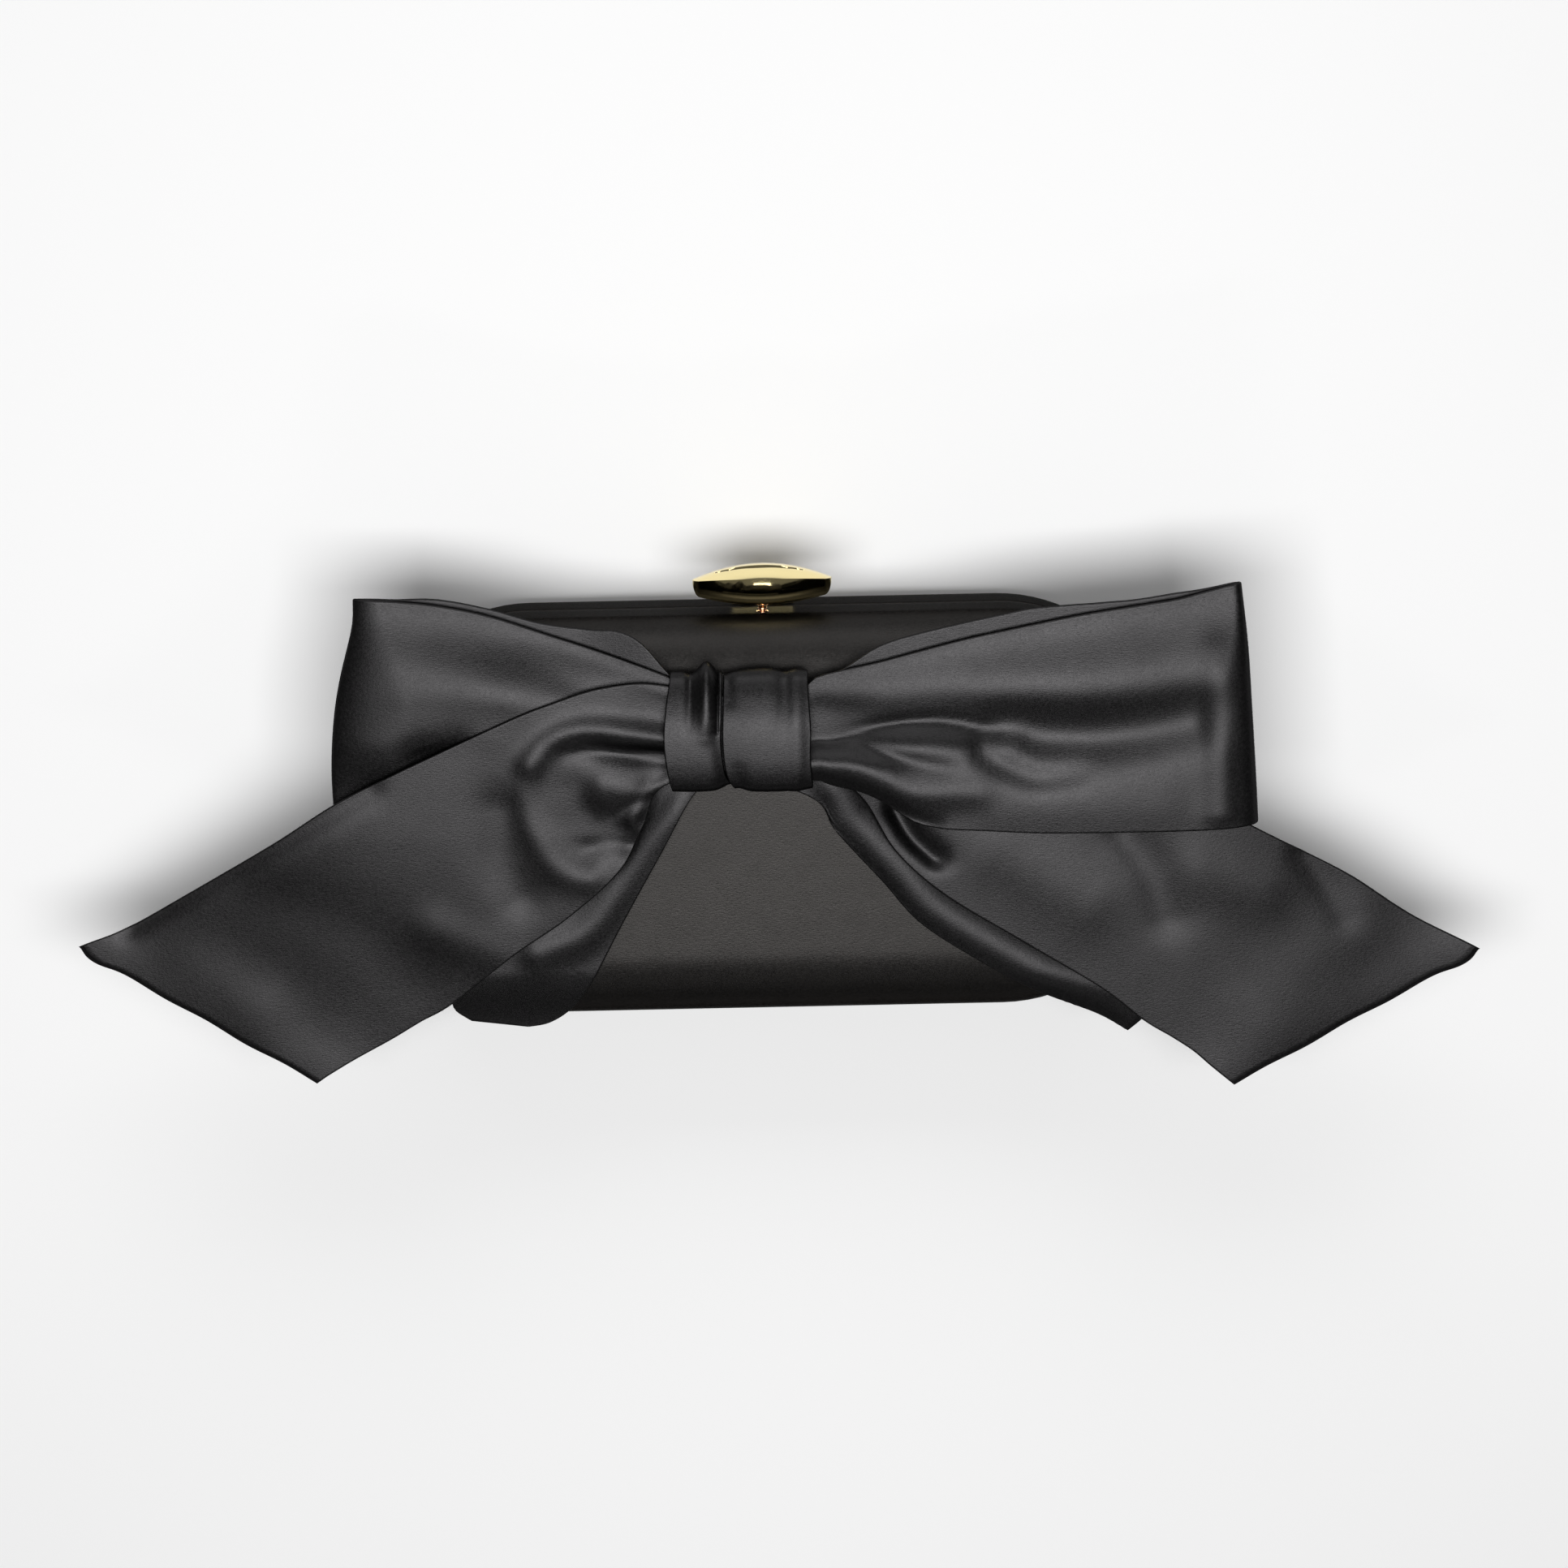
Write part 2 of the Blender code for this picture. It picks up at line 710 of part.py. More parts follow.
def make_wrap(name, x_range, finish):
    """A band of ribbon closed round the gathered middle of the bow."""
    corner = 5.0
    steps = 4

    def band(inset, x):
        radius = corner - inset
        ring = []
        for quarter, (sy, sz) in enumerate(((1, 1), (-1, 1), (-1, -1), (1, -1))):
            centre_y = KNOT_HIGH_Y - corner if sy > 0 else KNOT_LOW_Y + corner
            centre_z = KNOT_TOP_Z - corner if sz > 0 else KNOT_BASE_Z + corner
            for i in range(steps + 1):
                angle = math.pi / 2 * (quarter + i / steps)
                ring.append(
                    (x, centre_y + radius * math.cos(angle), centre_z + radius * math.sin(angle))
                )
        return ring

    x0, x1 = x_range
    rings = [band(0, x0), band(0, x1), band(WRAP_WALL, x1), band(WRAP_WALL, x0)]
    points, faces = lofted(rings, ends_closed=False)
    return object_from(name, points, faces, finish)


def make_bow(finishes):
    satin = finishes["ribbon"]
    points, faces = box((-21, 15, DEPTH + GAP), (8, 40, DEPTH + GAP + 1.1))
    return [
        object_from("bow_base", points, faces, finishes["board"]),
        make_ribbon("left_under_loop", LEFT_UNDER_ROWS, under_height, 1.4, satin),
        make_ribbon("right_under_loop", RIGHT_UNDER_ROWS, under_height, 1.4, satin),
        make_loop("left_loop", LEFT_LOOP_ROWS, satin),
        make_ribbon("right_tail", RIGHT_TAIL_ROWS, right_tail_height, 1.6, satin),
        make_ribbon("left_tail", LEFT_TAIL_ROWS, left_tail_height, 1.8, satin),
        make_loop("right_loop", RIGHT_LOOP_ROWS, satin),
        make_wrap("knot_narrow_wrap", NARROW_WRAP_X, satin),
        make_wrap("knot_wide_wrap", WIDE_WRAP_X, satin),
    ]


# ---------------------------------------------------------------- assembly
def axis_empty(name, y, z):
    empty = bpy.data.objects.new(name, None)
    empty.location = (0, y * MM, z * MM)
    bpy.context.scene.collection.objects.link(empty)
    return empty


def carry(pieces, empty):
    """Parent pieces to an axis empty and leave them where they are."""
    for piece in pieces:
        piece.parent = empty
        piece.matrix_parent_inverse = Matrix.Translation(-empty.location)


def main():
    clear_scene()
    finishes = {
        "satin": material("black_satin", (0.018, 0.017, 0.017), 0.38, 0.0),
        "ribbon": material("ribbon_satin", (0.020, 0.019, 0.019), 0.35, 0.0),
        "lining": material("lining_satin", (0.012, 0.012, 0.013), 0.5, 0.0),
        "board": material("case_board", (0.35, 0.28, 0.20), 0.9, 0.0),
        "wadding": material("wadding", (0.80, 0.79, 0.76), 1.0, 0.0),
        "steel": material("blackened_steel", (0.05, 0.05, 0.05), 0.4, 1.0),
        "pin_steel": material("bright_steel", (0.6, 0.6, 0.6), 0.3, 1.0),
        "gold": material("pale_gold", (0.90, 0.78, 0.42), 0.12, 1.0),
        "rose_gold": material("rose_gold", (0.80, 0.50, 0.36), 0.2, 1.0),
    }
    back = make_half("back", False, finishes)
    front = make_half("front", True, finishes)
    leaf_back = make_leaf("back", False, finishes["steel"])
    leaf_front = make_leaf("front", True, finishes["steel"])
    cut_hinge_window(back["cover"], "back", False)
    cut_hinge_window(front["cover"], "front", True)
    make_hinge_rivets("back", False, leaf_back, back, finishes["steel"])
    front_rivets = make_hinge_rivets("front", True, leaf_front, front, finishes["steel"])
    make_hinge_pin(finishes["pin_steel"])

    bracket = make_bracket(finishes["gold"])
    make_clasp_rivets(bracket, back, finishes["gold"])
    make_pivot_pin(finishes["gold"])
    make_clasp_spring(finishes["pin_steel"])
    lozenge = make_lozenge(finishes["gold"])
    stud_pieces = make_stud(front, finishes["rose_gold"], finishes["steel"])
    bow = make_bow(finishes)

    lid_axis = axis_empty("lid_axis", HINGE_Y, SEAM_Z)
    carry(list(front.values()) + [leaf_front] + front_rivets + stud_pieces + bow, lid_axis)
    clasp_axis = axis_empty("clasp_axis", PIVOT_Y, PIVOT_Z)
    carry([lozenge], clasp_axis)


main()
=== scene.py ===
"""Looks of the satin clutch purse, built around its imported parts.

The purse lies on its back: +Z is out of its front face, +Y towards the clasp, +X right.
Shapes are drawn in millimetres and turned into metres when a mesh is made. The camera, the
lights, the textures and the flat sizes of the sheets are in metres.
"""

import math

import bmesh
import bpy
import numpy as np
from mathutils import Matrix, Vector


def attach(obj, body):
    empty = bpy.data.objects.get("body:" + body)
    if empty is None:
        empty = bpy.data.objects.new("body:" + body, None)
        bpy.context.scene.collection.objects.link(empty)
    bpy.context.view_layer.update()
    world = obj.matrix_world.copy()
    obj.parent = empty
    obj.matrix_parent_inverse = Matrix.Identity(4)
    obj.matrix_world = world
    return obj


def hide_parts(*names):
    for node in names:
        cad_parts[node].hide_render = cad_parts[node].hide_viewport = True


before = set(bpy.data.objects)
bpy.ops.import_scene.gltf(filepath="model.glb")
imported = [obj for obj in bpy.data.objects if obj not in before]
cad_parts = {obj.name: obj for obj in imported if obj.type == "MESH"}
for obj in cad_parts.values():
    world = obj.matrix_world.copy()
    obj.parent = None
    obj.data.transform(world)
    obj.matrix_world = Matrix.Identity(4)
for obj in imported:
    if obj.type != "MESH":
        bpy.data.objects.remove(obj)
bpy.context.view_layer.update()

MM = 0.001

# The closed case. Depths are counted from a half's own face, insets from the outline.
HALF_WIDTH = 104.0
HALF_HEIGHT = 53.0
CORNER_RADIUS = 43.0
DEPTH = 44.0
RIM_DEPTH = 21.85
EDGE_ROLL = 13.0
SHOULDER = 18.0


# ================================================================ camera, floor and light
def make_camera():
    """Looks down on the front face, tilted a little towards the clasp edge and rolled a little."""
    tilt = math.radians(14.0)
    roll = math.radians(1.2)
    distance = 1.3
    view_width = 0.4102
    sensor = 36.0
    middle = Vector((0.0, 0.0, 0.030))
    shift_right, shift_up = 0.00446, 0.00688
    back = Vector((0.0, math.sin(tilt), math.cos(tilt)))
    level_up = Vector((0.0, math.cos(tilt), -math.sin(tilt)))
    level_right = Vector((1.0, 0.0, 0.0))
    right = math.cos(roll) * level_right - math.sin(roll) * level_up
    up = math.sin(roll) * level_right + math.cos(roll) * level_up
    aim = middle + shift_right * right + shift_up * up
    data = bpy.data.cameras.new("camera")
    data.sensor_width = sensor
    data.lens = sensor * distance / view_width
    data.clip_start = 0.05
    data.clip_end = 20.0
    camera = bpy.data.objects.new("camera", data)
    bpy.context.scene.collection.objects.link(camera)
    turn = Matrix((right, up, back)).transposed().to_4x4()
    camera.matrix_world = Matrix.Translation(aim + back * distance) @ turn
    bpy.context.scene.camera = camera


def area_light(name, place, target, size, power):
    data = bpy.data.lights.new(name, "AREA")
    data.shape = "RECTANGLE"
    data.size = size[0]
    data.size_y = size[1]
    data.energy = power
    lamp = bpy.data.objects.new(name, data)
    lamp.location = place
    lamp.rotation_euler = (Vector(target) - Vector(place)).to_track_quat("-Z", "Y").to_euler()
    lamp.visible_camera = False
    bpy.context.scene.collection.objects.link(lamp)


def make_studio():
    """A plain pale floor under one large soft light, with a weak fill behind and in front."""
    half = 3.0
    floor_drop = 0.0003
    mesh = bpy.data.meshes.new("floor")
    mesh.from_pydata(
        [(-half, -half, 0), (half, -half, 0), (half, half, 0), (-half, half, 0)], [], [(0, 1, 2, 3)]
    )
    floor = bpy.data.objects.new("floor", mesh)
    floor.location.z = -floor_drop
    bpy.context.scene.collection.objects.link(floor)
    paint = bpy.data.materials.new("floor_paint")
    paint.use_nodes = True
    shader = paint.node_tree.nodes["Principled BSDF"]
    shader.inputs["Base Color"].default_value = (0.93, 0.93, 0.93, 1)
    shader.inputs["Roughness"].default_value = 0.9
    shader.inputs["Specular IOR Level"].default_value = 0.1
    mesh.materials.append(paint)

    world = bpy.data.worlds.new("studio")
    world.use_nodes = True
    background = world.node_tree.nodes["Background"]
    background.inputs["Color"].default_value = (1.0, 1.0, 1.0, 1)
    background.inputs["Strength"].default_value = 0.12
    bpy.context.scene.world = world
    bpy.context.scene.view_settings.view_transform = "Standard"
    area_light("overhead", (0.0, 0.03, 1.10), (0, 0, 0.03), (0.86, 0.36), 10.4)
    area_light("back_fill", (0.0, 1.5, 0.8), (0, 0, 0), (1.8, 0.9), 10.0)
    area_light("low_strip", (0.0, -0.95, 0.80), (0, 0.05, 0.03), (0.30, 0.06), 0.35)


# ================================================================ materials
def new_material(name):
    """An empty material, its node tree and its shader."""
    made = bpy.data.materials.new(name)
    made.use_nodes = True
    tree = made.node_tree
    return made, tree, tree.nodes["Principled BSDF"]


def add(tree, kind, **settings):
    node = tree.nodes.new(kind)
    for key, value in settings.items():
        setattr(node, key, value)
    return node


def ramp(tree, source, stops):
    """Turns a value into greys or colours through (place, level or colour) stops."""
    node = add(tree, "ShaderNodeValToRGB")
    elements = node.color_ramp.elements
    while len(elements) < len(stops):
        elements.new(0.5)
    for element, (place, level) in zip(elements, stops):
        element.position = place
        element.color = (level, level, level, 1) if isinstance(level, float) else (*level, 1)
    tree.links.new(source, node.inputs["Fac"])
    return node.outputs["Color"]


def noise(tree, vector, scale, detail=2.0, rough=0.5):
    node = add(tree, "ShaderNodeTexNoise")
    node.inputs["Scale"].default_value = scale
    node.inputs["Detail"].default_value = detail
    node.inputs["Roughness"].default_value = rough
    tree.links.new(vector, node.inputs["Vector"])
    return node.outputs["Fac"]


def stretched(tree, vector, scale):
    node = add(tree, "ShaderNodeMapping")
    node.inputs["Scale"].default_value = scale
    tree.links.new(vector, node.inputs["Vector"])
    return node.outputs["Vector"]


def satin(name, colour, roughness, edge, lint):
    """Woven satin: fine floats along X, faint mottling, soft sheen and a few specks of lint.

    It shines like a metal of a very dark colour; edge is how bright it turns at a grazing angle.
    """
    made, tree, shader = new_material(name)
    where = add(tree, "ShaderNodeTexCoord").outputs["Object"]
    floats = noise(tree, stretched(tree, where, (900, 5200, 3000)), 1.0, 2.0, 0.6)
    grains = noise(tree, where, 1300.0, 4.0, 0.75)
    mottle = noise(tree, where, 160.0, 4.0, 0.6)
    cloud = noise(tree, where, 18.0, 2.0, 0.5)

    low = tuple(c * 0.80 for c in colour)
    high = tuple(c * 1.22 for c in colour)
    mottle_share = 0.30
    patch = add(tree, "ShaderNodeMath", operation="MULTIPLY_ADD")
    patch.inputs[1].default_value = mottle_share
    tree.links.new(mottle, patch.inputs[0])
    tree.links.new(grains, patch.inputs[2])
    base = ramp(tree, patch.outputs[0], ((0.40, low), (0.90, high)))

    specks = add(tree, "ShaderNodeTexVoronoi")
    specks.inputs["Scale"].default_value = 62.0
    tree.links.new(where, specks.inputs["Vector"])
    size = ramp(tree, specks.outputs["Distance"], ((0.010, 1.0), (0.020, 0.0)))
    chosen = ramp(tree, specks.outputs["Color"], ((0.80, 0.0), (0.84, lint)))
    speck = add(tree, "ShaderNodeMath", operation="MULTIPLY")
    tree.links.new(size, speck.inputs[0])
    tree.links.new(chosen, speck.inputs[1])
    mixed = add(tree, "ShaderNodeMix", data_type="RGBA")
    mixed.inputs["B"].default_value = (0.30, 0.29, 0.28, 1)
    tree.links.new(speck.outputs[0], mixed.inputs["Factor"])
    tree.links.new(base, mixed.inputs["A"])
    tree.links.new(mixed.outputs["Result"], shader.inputs["Base Color"])

    dull = ramp(tree, cloud, ((0.3, roughness - 0.03), (0.7, roughness + 0.03)))
    grain = ramp(tree, grains, ((0.30, 0.0), (0.70, 0.15)))
    total = add(tree, "ShaderNodeMath", operation="ADD")
    tree.links.new(dull, total.inputs[0])
    tree.links.new(grain, total.inputs[1])
    tree.links.new(total.outputs[0], shader.inputs["Roughness"])

    weave = add(tree, "ShaderNodeBump")
    weave.inputs["Strength"].default_value = 0.8
    weave.inputs["Distance"].default_value = 0.00005
    threads = add(tree, "ShaderNodeMath", operation="ADD")
    tree.links.new(floats, threads.inputs[0])
    tree.links.new(grains, threads.inputs[1])
    tree.links.new(threads.outputs[0], weave.inputs["Height"])
    tree.links.new(weave.outputs["Normal"], shader.inputs["Normal"])
    shader.inputs["Metallic"].default_value = 1.0
    shader.inputs["Specular Tint"].default_value = (edge, edge, edge, 1)
    return made


def polished_metal(name, colour, roughness):
    """Plated metal: nearly mirror bright, with faint handling marks."""
    made, tree, shader = new_material(name)
    where = add(tree, "ShaderNodeTexCoord").outputs["Object"]
    marks = noise(tree, where, 900.0, 3.0, 0.6)
    tint = noise(tree, where, 60.0)
    base = ramp(tree, tint, ((0.3, tuple(c * 0.95 for c in colour)), (0.7, colour)))
    tree.links.new(base, shader.inputs["Base Color"])
    gloss = ramp(tree, marks, ((0.35, roughness), (0.75, roughness + 0.05)))
    tree.links.new(gloss, shader.inputs["Roughness"])
    shader.inputs["Metallic"].default_value = 1.0
    scuffs = add(tree, "ShaderNodeBump")
    scuffs.inputs["Strength"].default_value = 0.05
    scuffs.inputs["Distance"].default_value = 0.00003
    tree.links.new(marks, scuffs.inputs["Height"])
    tree.links.new(scuffs.outputs["Normal"], shader.inputs["Normal"])
    return made


def rough_stuff(name, dark, light, scale, roughness, relief):
    """Dull material with fibres or grain: board and wadding."""
    made, tree, shader = new_material(name)
    where = add(tree, "ShaderNodeTexCoord").outputs["Object"]
    fibres = noise(tree, where, scale, 6.0, 0.65)
    base = ramp(tree, fibres, ((0.3, dark), (0.7, light)))
    tree.links.new(base, shader.inputs["Base Color"])
    shader.inputs["Roughness"].default_value = roughness
    bump = add(tree, "ShaderNodeBump")
    bump.inputs["Strength"].default_value = 0.6
    bump.inputs["Distance"].default_value = relief
    tree.links.new(fibres, bump.inputs["Height"])
    tree.links.new(bump.outputs["Normal"], shader.inputs["Normal"])
    return made


def blackened_steel(name):
    """Dark oxidised steel with fine marks drawn along X."""
    made, tree, shader = new_material(name)
    where = add(tree, "ShaderNodeTexCoord").outputs["Object"]
    marks = noise(tree, stretched(tree, where, (60, 900, 900)), 1.0, 4.0, 0.6)
    base = ramp(tree, marks, ((0.3, (0.020, 0.020, 0.021)), (0.75, (0.045, 0.044, 0.043))))
    tree.links.new(base, shader.inputs["Base Color"])
    gloss = ramp(tree, marks, ((0.3, 0.30), (0.7, 0.42)))
    tree.links.new(gloss, shader.inputs["Roughness"])
    shader.inputs["Metallic"].default_value = 0.8
    return made


# ================================================================ mesh helpers
def smooth_step(value):
    """Eases from 0 to 1 as the value goes from 0 to 1, and stays level outside."""
    value = np.clip(value, 0.0, 1.0)
    return value * value * (3 - 2 * value)


def mesh_object(name, points, faces, finish, body, nodes=()):
    """Makes a piece from points in millimetres; it rides on a body and stands for CAD nodes."""
    mesh = bpy.data.meshes.new(name)
    mesh.from_pydata([tuple(p) for p in np.asarray(points) * MM], [], faces)
    work = bmesh.new()
    work.from_mesh(mesh)
    bmesh.ops.recalc_face_normals(work, faces=work.faces)
    work.to_mesh(mesh)
    work.free()
    mesh.shade_smooth()
    mesh.materials.append(finish)
    made = bpy.data.objects.new(name, mesh)
    bpy.context.scene.collection.objects.link(made)
    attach(made, body)
    if nodes:
        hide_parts(*nodes)
    return made


def smooth_line(points, count):
    """Catmull-Rom curve through control points, evenly spaced along its length."""
    p = np.asarray(points, float)
    padded = np.vstack([2 * p[0] - p[1], p, 2 * p[-1] - p[-2]])
    fine = []
    steps = 16
    for i in range(len(p) - 1):
        a, b, c, d = padded[i : i + 4]
        for t in np.arange(steps) / steps:
            fine.append(
                0.5
                * (
                    2 * b
                    + (c - a) * t
                    + (2 * a - 5 * b + 4 * c - d) * t**2
                    + (3 * b - a - 3 * c + d) * t**3
                )
            )
    fine.append(p[-1])
    fine = np.array(fine)
    along = np.concatenate([[0], np.cumsum(np.linalg.norm(np.diff(fine, axis=0), axis=1))])
    wanted = np.linspace(0, along[-1], count)
    return np.stack([np.interp(wanted, along, fine[:, k]) for k in range(p.shape[1])], axis=1)


def smooth_curve(knots):
    """A smooth function y(x) through (x, y) knots, given in order along x."""
    line = smooth_line(knots, 400)
    order = np.argsort(line[:, 0])
    xs = line[order, 0]
    ys = line[order, 1]
    return lambda x: np.interp(x, xs, ys)


def crowded_ends(count, strength=0.75):
    """Parameters from 0 to 1 that crowd towards both ends."""
    t = np.linspace(0, 1, count)
    return t - strength * np.sin(2 * np.pi * t) / (2 * np.pi)


def crowded_last(count, strength=0.8):
    """Parameters from 0 to 1 that crowd towards 1 only."""
    t = np.linspace(0, 1, count)
    return t + strength * np.sin(np.pi * t) / np.pi


class Folds:
    """A height field made of soft ridges (positive) and valleys (negative) along lines.

    Each fold is a line, its height at the start and at the end, and its width: one number,
    or two numbers for the sides to the left and to the right of the line's direction.
    """

    def __init__(self, *folds):
        self.folds = folds

    def __call__(self, x, y):
        total = np.zeros_like(x)
        for line, start_height, end_height, width in self.folds:
            p = np.asarray(line, float)
            if len(p) > 2:
                p = smooth_line(p, 24)
            left_width, right_width = width if isinstance(width, tuple) else (width, width)
            best = np.full(x.shape, 1e9)
            share = np.zeros_like(x)
            side = np.zeros_like(x)
            lengths = np.linalg.norm(np.diff(p, axis=0), axis=1)
            whole = max(lengths.sum(), 1e-6)
            gone = 0.0
            for a, b, length in zip(p[:-1], p[1:], lengths):
                ux, uy = (b - a) / max(length, 1e-9)
                along = np.clip((x - a[0]) * ux + (y - a[1]) * uy, 0, length)
                off_x = x - a[0] - along * ux
                off_y = y - a[1] - along * uy
                far = np.hypot(off_x, off_y)
                nearer = far < best
                best = np.where(nearer, far, best)
                share = np.where(nearer, (gone + along) / whole, share)
                side = np.where(nearer, (ux * off_y - uy * off_x) / np.maximum(far, 1e-6), side)
                gone += length
            height = start_height + (end_height - start_height) * share
            wide = right_width + (left_width - right_width) * smooth_step(0.5 + 0.5 * side)
            total = total + height * np.exp(-((best / wide) ** 2))
        return total


def soft_maximum(a, b, blend=0.6):
    """The larger of two heights, rounded where they cross."""
    return (a + b + np.sqrt((a - b) ** 2 + blend**2)) / 2


def cloth_mesh(grid, thickness, rounding=0.4):
    """Points and faces of a closed cloth of some thickness with soft round edges."""
    rows, cols = grid.shape[:2]
    along = np.gradient(grid, axis=0)
    across = np.gradient(grid, axis=1)
    normal = np.cross(along, across)
    normal /= np.maximum(np.linalg.norm(normal, axis=2, keepdims=True), 1e-9)

    def run(steps):
        return np.concatenate([np.zeros_like(steps[:1]), np.cumsum(steps, axis=0)], axis=0)

    down = run(np.linalg.norm(np.diff(grid, axis=0), axis=2))
    over = run(np.linalg.norm(np.diff(grid, axis=1), axis=2).T).T
    edge = np.minimum.reduce([down, down[-1:] - down, over, over[:, -1:] - over])
    full = np.sqrt(np.clip(1 - (1 - np.clip(edge / rounding, 0, 1)) ** 2, 0, 1))
    offset = normal * (thickness / 2 * full)[..., None]
    upper = (grid + offset).reshape(-1, 3)
    lower = (grid - offset)[1:-1, 1:-1].reshape(-1, 3)
    top_index = np.arange(rows * cols).reshape(rows, cols)
    low_index = top_index.copy()
    inner = np.arange((rows - 2) * (cols - 2)).reshape(rows - 2, cols - 2)
    low_index[1:-1, 1:-1] = rows * cols + inner
    faces = []
    for r in range(rows - 1):
        for c in range(cols - 1):
            corners = ((r, c), (r, c + 1), (r + 1, c + 1), (r + 1, c))
            faces.append([int(top_index[corner]) for corner in corners])
            faces.append([int(low_index[corner]) for corner in corners[::-1]])
    return np.vstack([upper, lower]), faces


# ================================================================ case
def outline_ring(inset, depth, is_front, corner_steps=20, straight_steps=24):
    """The purse's outline drawn in by an inset, with points round the corners and along the sides."""
    radius = CORNER_RADIUS - inset
    centre_x = HALF_WIDTH - CORNER_RADIUS
    centre_y = HALF_HEIGHT - CORNER_RADIUS
    corners = ((1, 1), (-1, 1), (-1, -1), (1, -1))

    def on_corner(corner, angle):
        sx, sy = corners[corner]
        return sx * centre_x + radius * math.cos(angle), sy * centre_y + radius * math.sin(angle)

    ring = []
    for quarter in range(4):
        for step in range(corner_steps + 1):
            ring.append(on_corner(quarter, math.pi / 2 * (quarter + step / corner_steps)))
        here = ring[-1]
        there = on_corner((quarter + 1) % 4, math.pi / 2 * (quarter + 1))
        for step in range(1, straight_steps):
            t = step / straight_steps
            ring.append((here[0] + (there[0] - here[0]) * t, here[1] + (there[1] - here[1]) * t))
    z = DEPTH - depth if is_front else depth
    return np.array([(x, y, z) for x, y in ring])


def lofted(rings, closed):
    """Quads through rings; when not closed, each end ring is filled with one face."""
    rings = list(rings)
    count = len(rings[0])
    points = np.vstack(rings)
    faces = []
    spans = len(rings) if closed else len(rings) - 1
    for level in range(spans):
        low = level * count
        high = ((level + 1) % len(rings)) * count
        for i in range(count):
            j = (i + 1) % count
            faces.append([low + i, low + j, high + j, high + i])
    if not closed:
        faces.append(list(range(count)))
        faces.append(list(range((len(rings) - 1) * count, len(rings) * count)))
    return points, faces


def face_rings(inset, depth, is_front, count=16):
    """Rings that fill a flat face, from a slit along its middle out to the given inset."""
    edge = outline_ring(inset, depth, is_front)
    rings = []
    for step in range(count):
        share = max(0.02, step / count)
        ring = edge.copy()
        ring[:, 0] *= 0.55 + 0.45 * share
        ring[:, 1] *= share
        rings.append(ring)
    return rings


def open_for_hinge(ring, depth, is_front):
    """Draws the rim back along the bottom edge, where the hinge leaf lies against the shell."""
    window_half = 60.0
    window_depth = 17.1
    inside = (ring[:, 1] < 0) & (np.abs(ring[:, 0]) < window_half) & (depth > EDGE_ROLL)
    drawn = EDGE_ROLL + (depth - EDGE_ROLL) * (window_depth - EDGE_ROLL) / (RIM_DEPTH - EDGE_ROLL)
    ring[inside, 2] = DEPTH - drawn if is_front else drawn
    return ring


def shoulder(start_inset, start_depth, flank, steps=18):
    """(inset, depth) pairs of the long soft curve from the face to the straight side."""
    pairs = []
    for step in range(steps + 1):
        angle = math.pi / 2 * step / steps
        inset = start_inset + flank * (1 - math.sin(angle))
        pairs.append((inset, start_depth + EDGE_ROLL * (1 - math.cos(angle))))
    return pairs


def make_cover(side, is_front, finish):
    """Satin stretched over half the case, rolled round its edge and turned in at the rim."""
    wall = 0.8
    section = shoulder(0.0, 0.0, SHOULDER)
    section += [(0.0, 15.0), (0.0, 18.0), (0.0, 20.6), (0.05, 21.3), (0.18, 21.68), (0.40, 21.85)]
    section += [(0.62, 21.68), (0.75, 21.3), (0.8, 20.6), (0.8, 18.0), (0.8, 15.0)]
    section += shoulder(wall, wall, SHOULDER - wall)[::-1]
    rings = face_rings(SHOULDER, 0.0, is_front)
    for inset, depth in section:
        rings.append(open_for_hinge(outline_ring(inset, depth, is_front), depth, is_front))
    rings += face_rings(SHOULDER, wall, is_front)[::-1]
    points, faces = lofted(rings, closed=False)
    name = side + "_cover_satin"
    body = "case_" + side
    cover = mesh_object(name, points, faces, finish, body, [side + "_satin_cover"])


def make_padding(side, is_front, finish):
    """Wadding between the shell and the satin, thinner towards its edge."""
    inset, low, high = 13.7, 1.12, 2.6
    level_part = SHOULDER + 6
    steps = 8
    section = []
    for step in range(steps + 1):
        here = level_part - (level_part - inset) * step / steps
        t = max(0.0, 1 - here / SHOULDER)
        thin = EDGE_ROLL * (1 - math.sqrt(1 - t * t))
        section.append((here, low + thin))
    section += [(inset - 0.1, low + 0.75), (inset - 0.1, high - 0.2), (inset + 0.2, high)]
    rings = face_rings(level_part, low, is_front)[:-1]
    rings += [outline_ring(i, d, is_front) for i, d in section]
    rings += face_rings(inset + 0.2, high, is_front)[::-1]
    points, faces = lofted(rings, closed=False)
    name = side + "_wadding"
    pad = mesh_object(name, points, faces, finish, "case_" + side, [side + "_padding"])


def make_lining(side, is_front, finish):
    """Satin tray that lines half the case, its floor rounded up into the side."""
    inset, face, roll, wall = 4.4, 4.7, 9.0, 0.8
    rim, lip, ease = 20.6, 0.3, 0.15
    steps = 10

    def rounded(edge, floor, radius):
        angles = [math.pi / 2 * step / steps for step in range(steps + 1)]
        return [(edge + radius * (1 - math.sin(a)), floor + radius * (1 - math.cos(a))) for a in angles]

    section = rounded(inset, face, roll)
    section += [(inset, rim - lip), (inset + ease, rim)]
    section += [(inset + wall - ease, rim), (inset + wall, rim - lip)]
    section += rounded(inset + wall, face + wall, roll - wall)[::-1]
    rings = face_rings(inset + roll, face, is_front)
    rings += [outline_ring(i, d, is_front) for i, d in section]
    rings += face_rings(inset + roll, face + wall, is_front)[::-1]
    points, faces = lofted(rings, closed=False)
    name = side + "_lining_satin"
    lining = mesh_object(name, points, faces, finish, "case_" + side, [side + "_lining"])


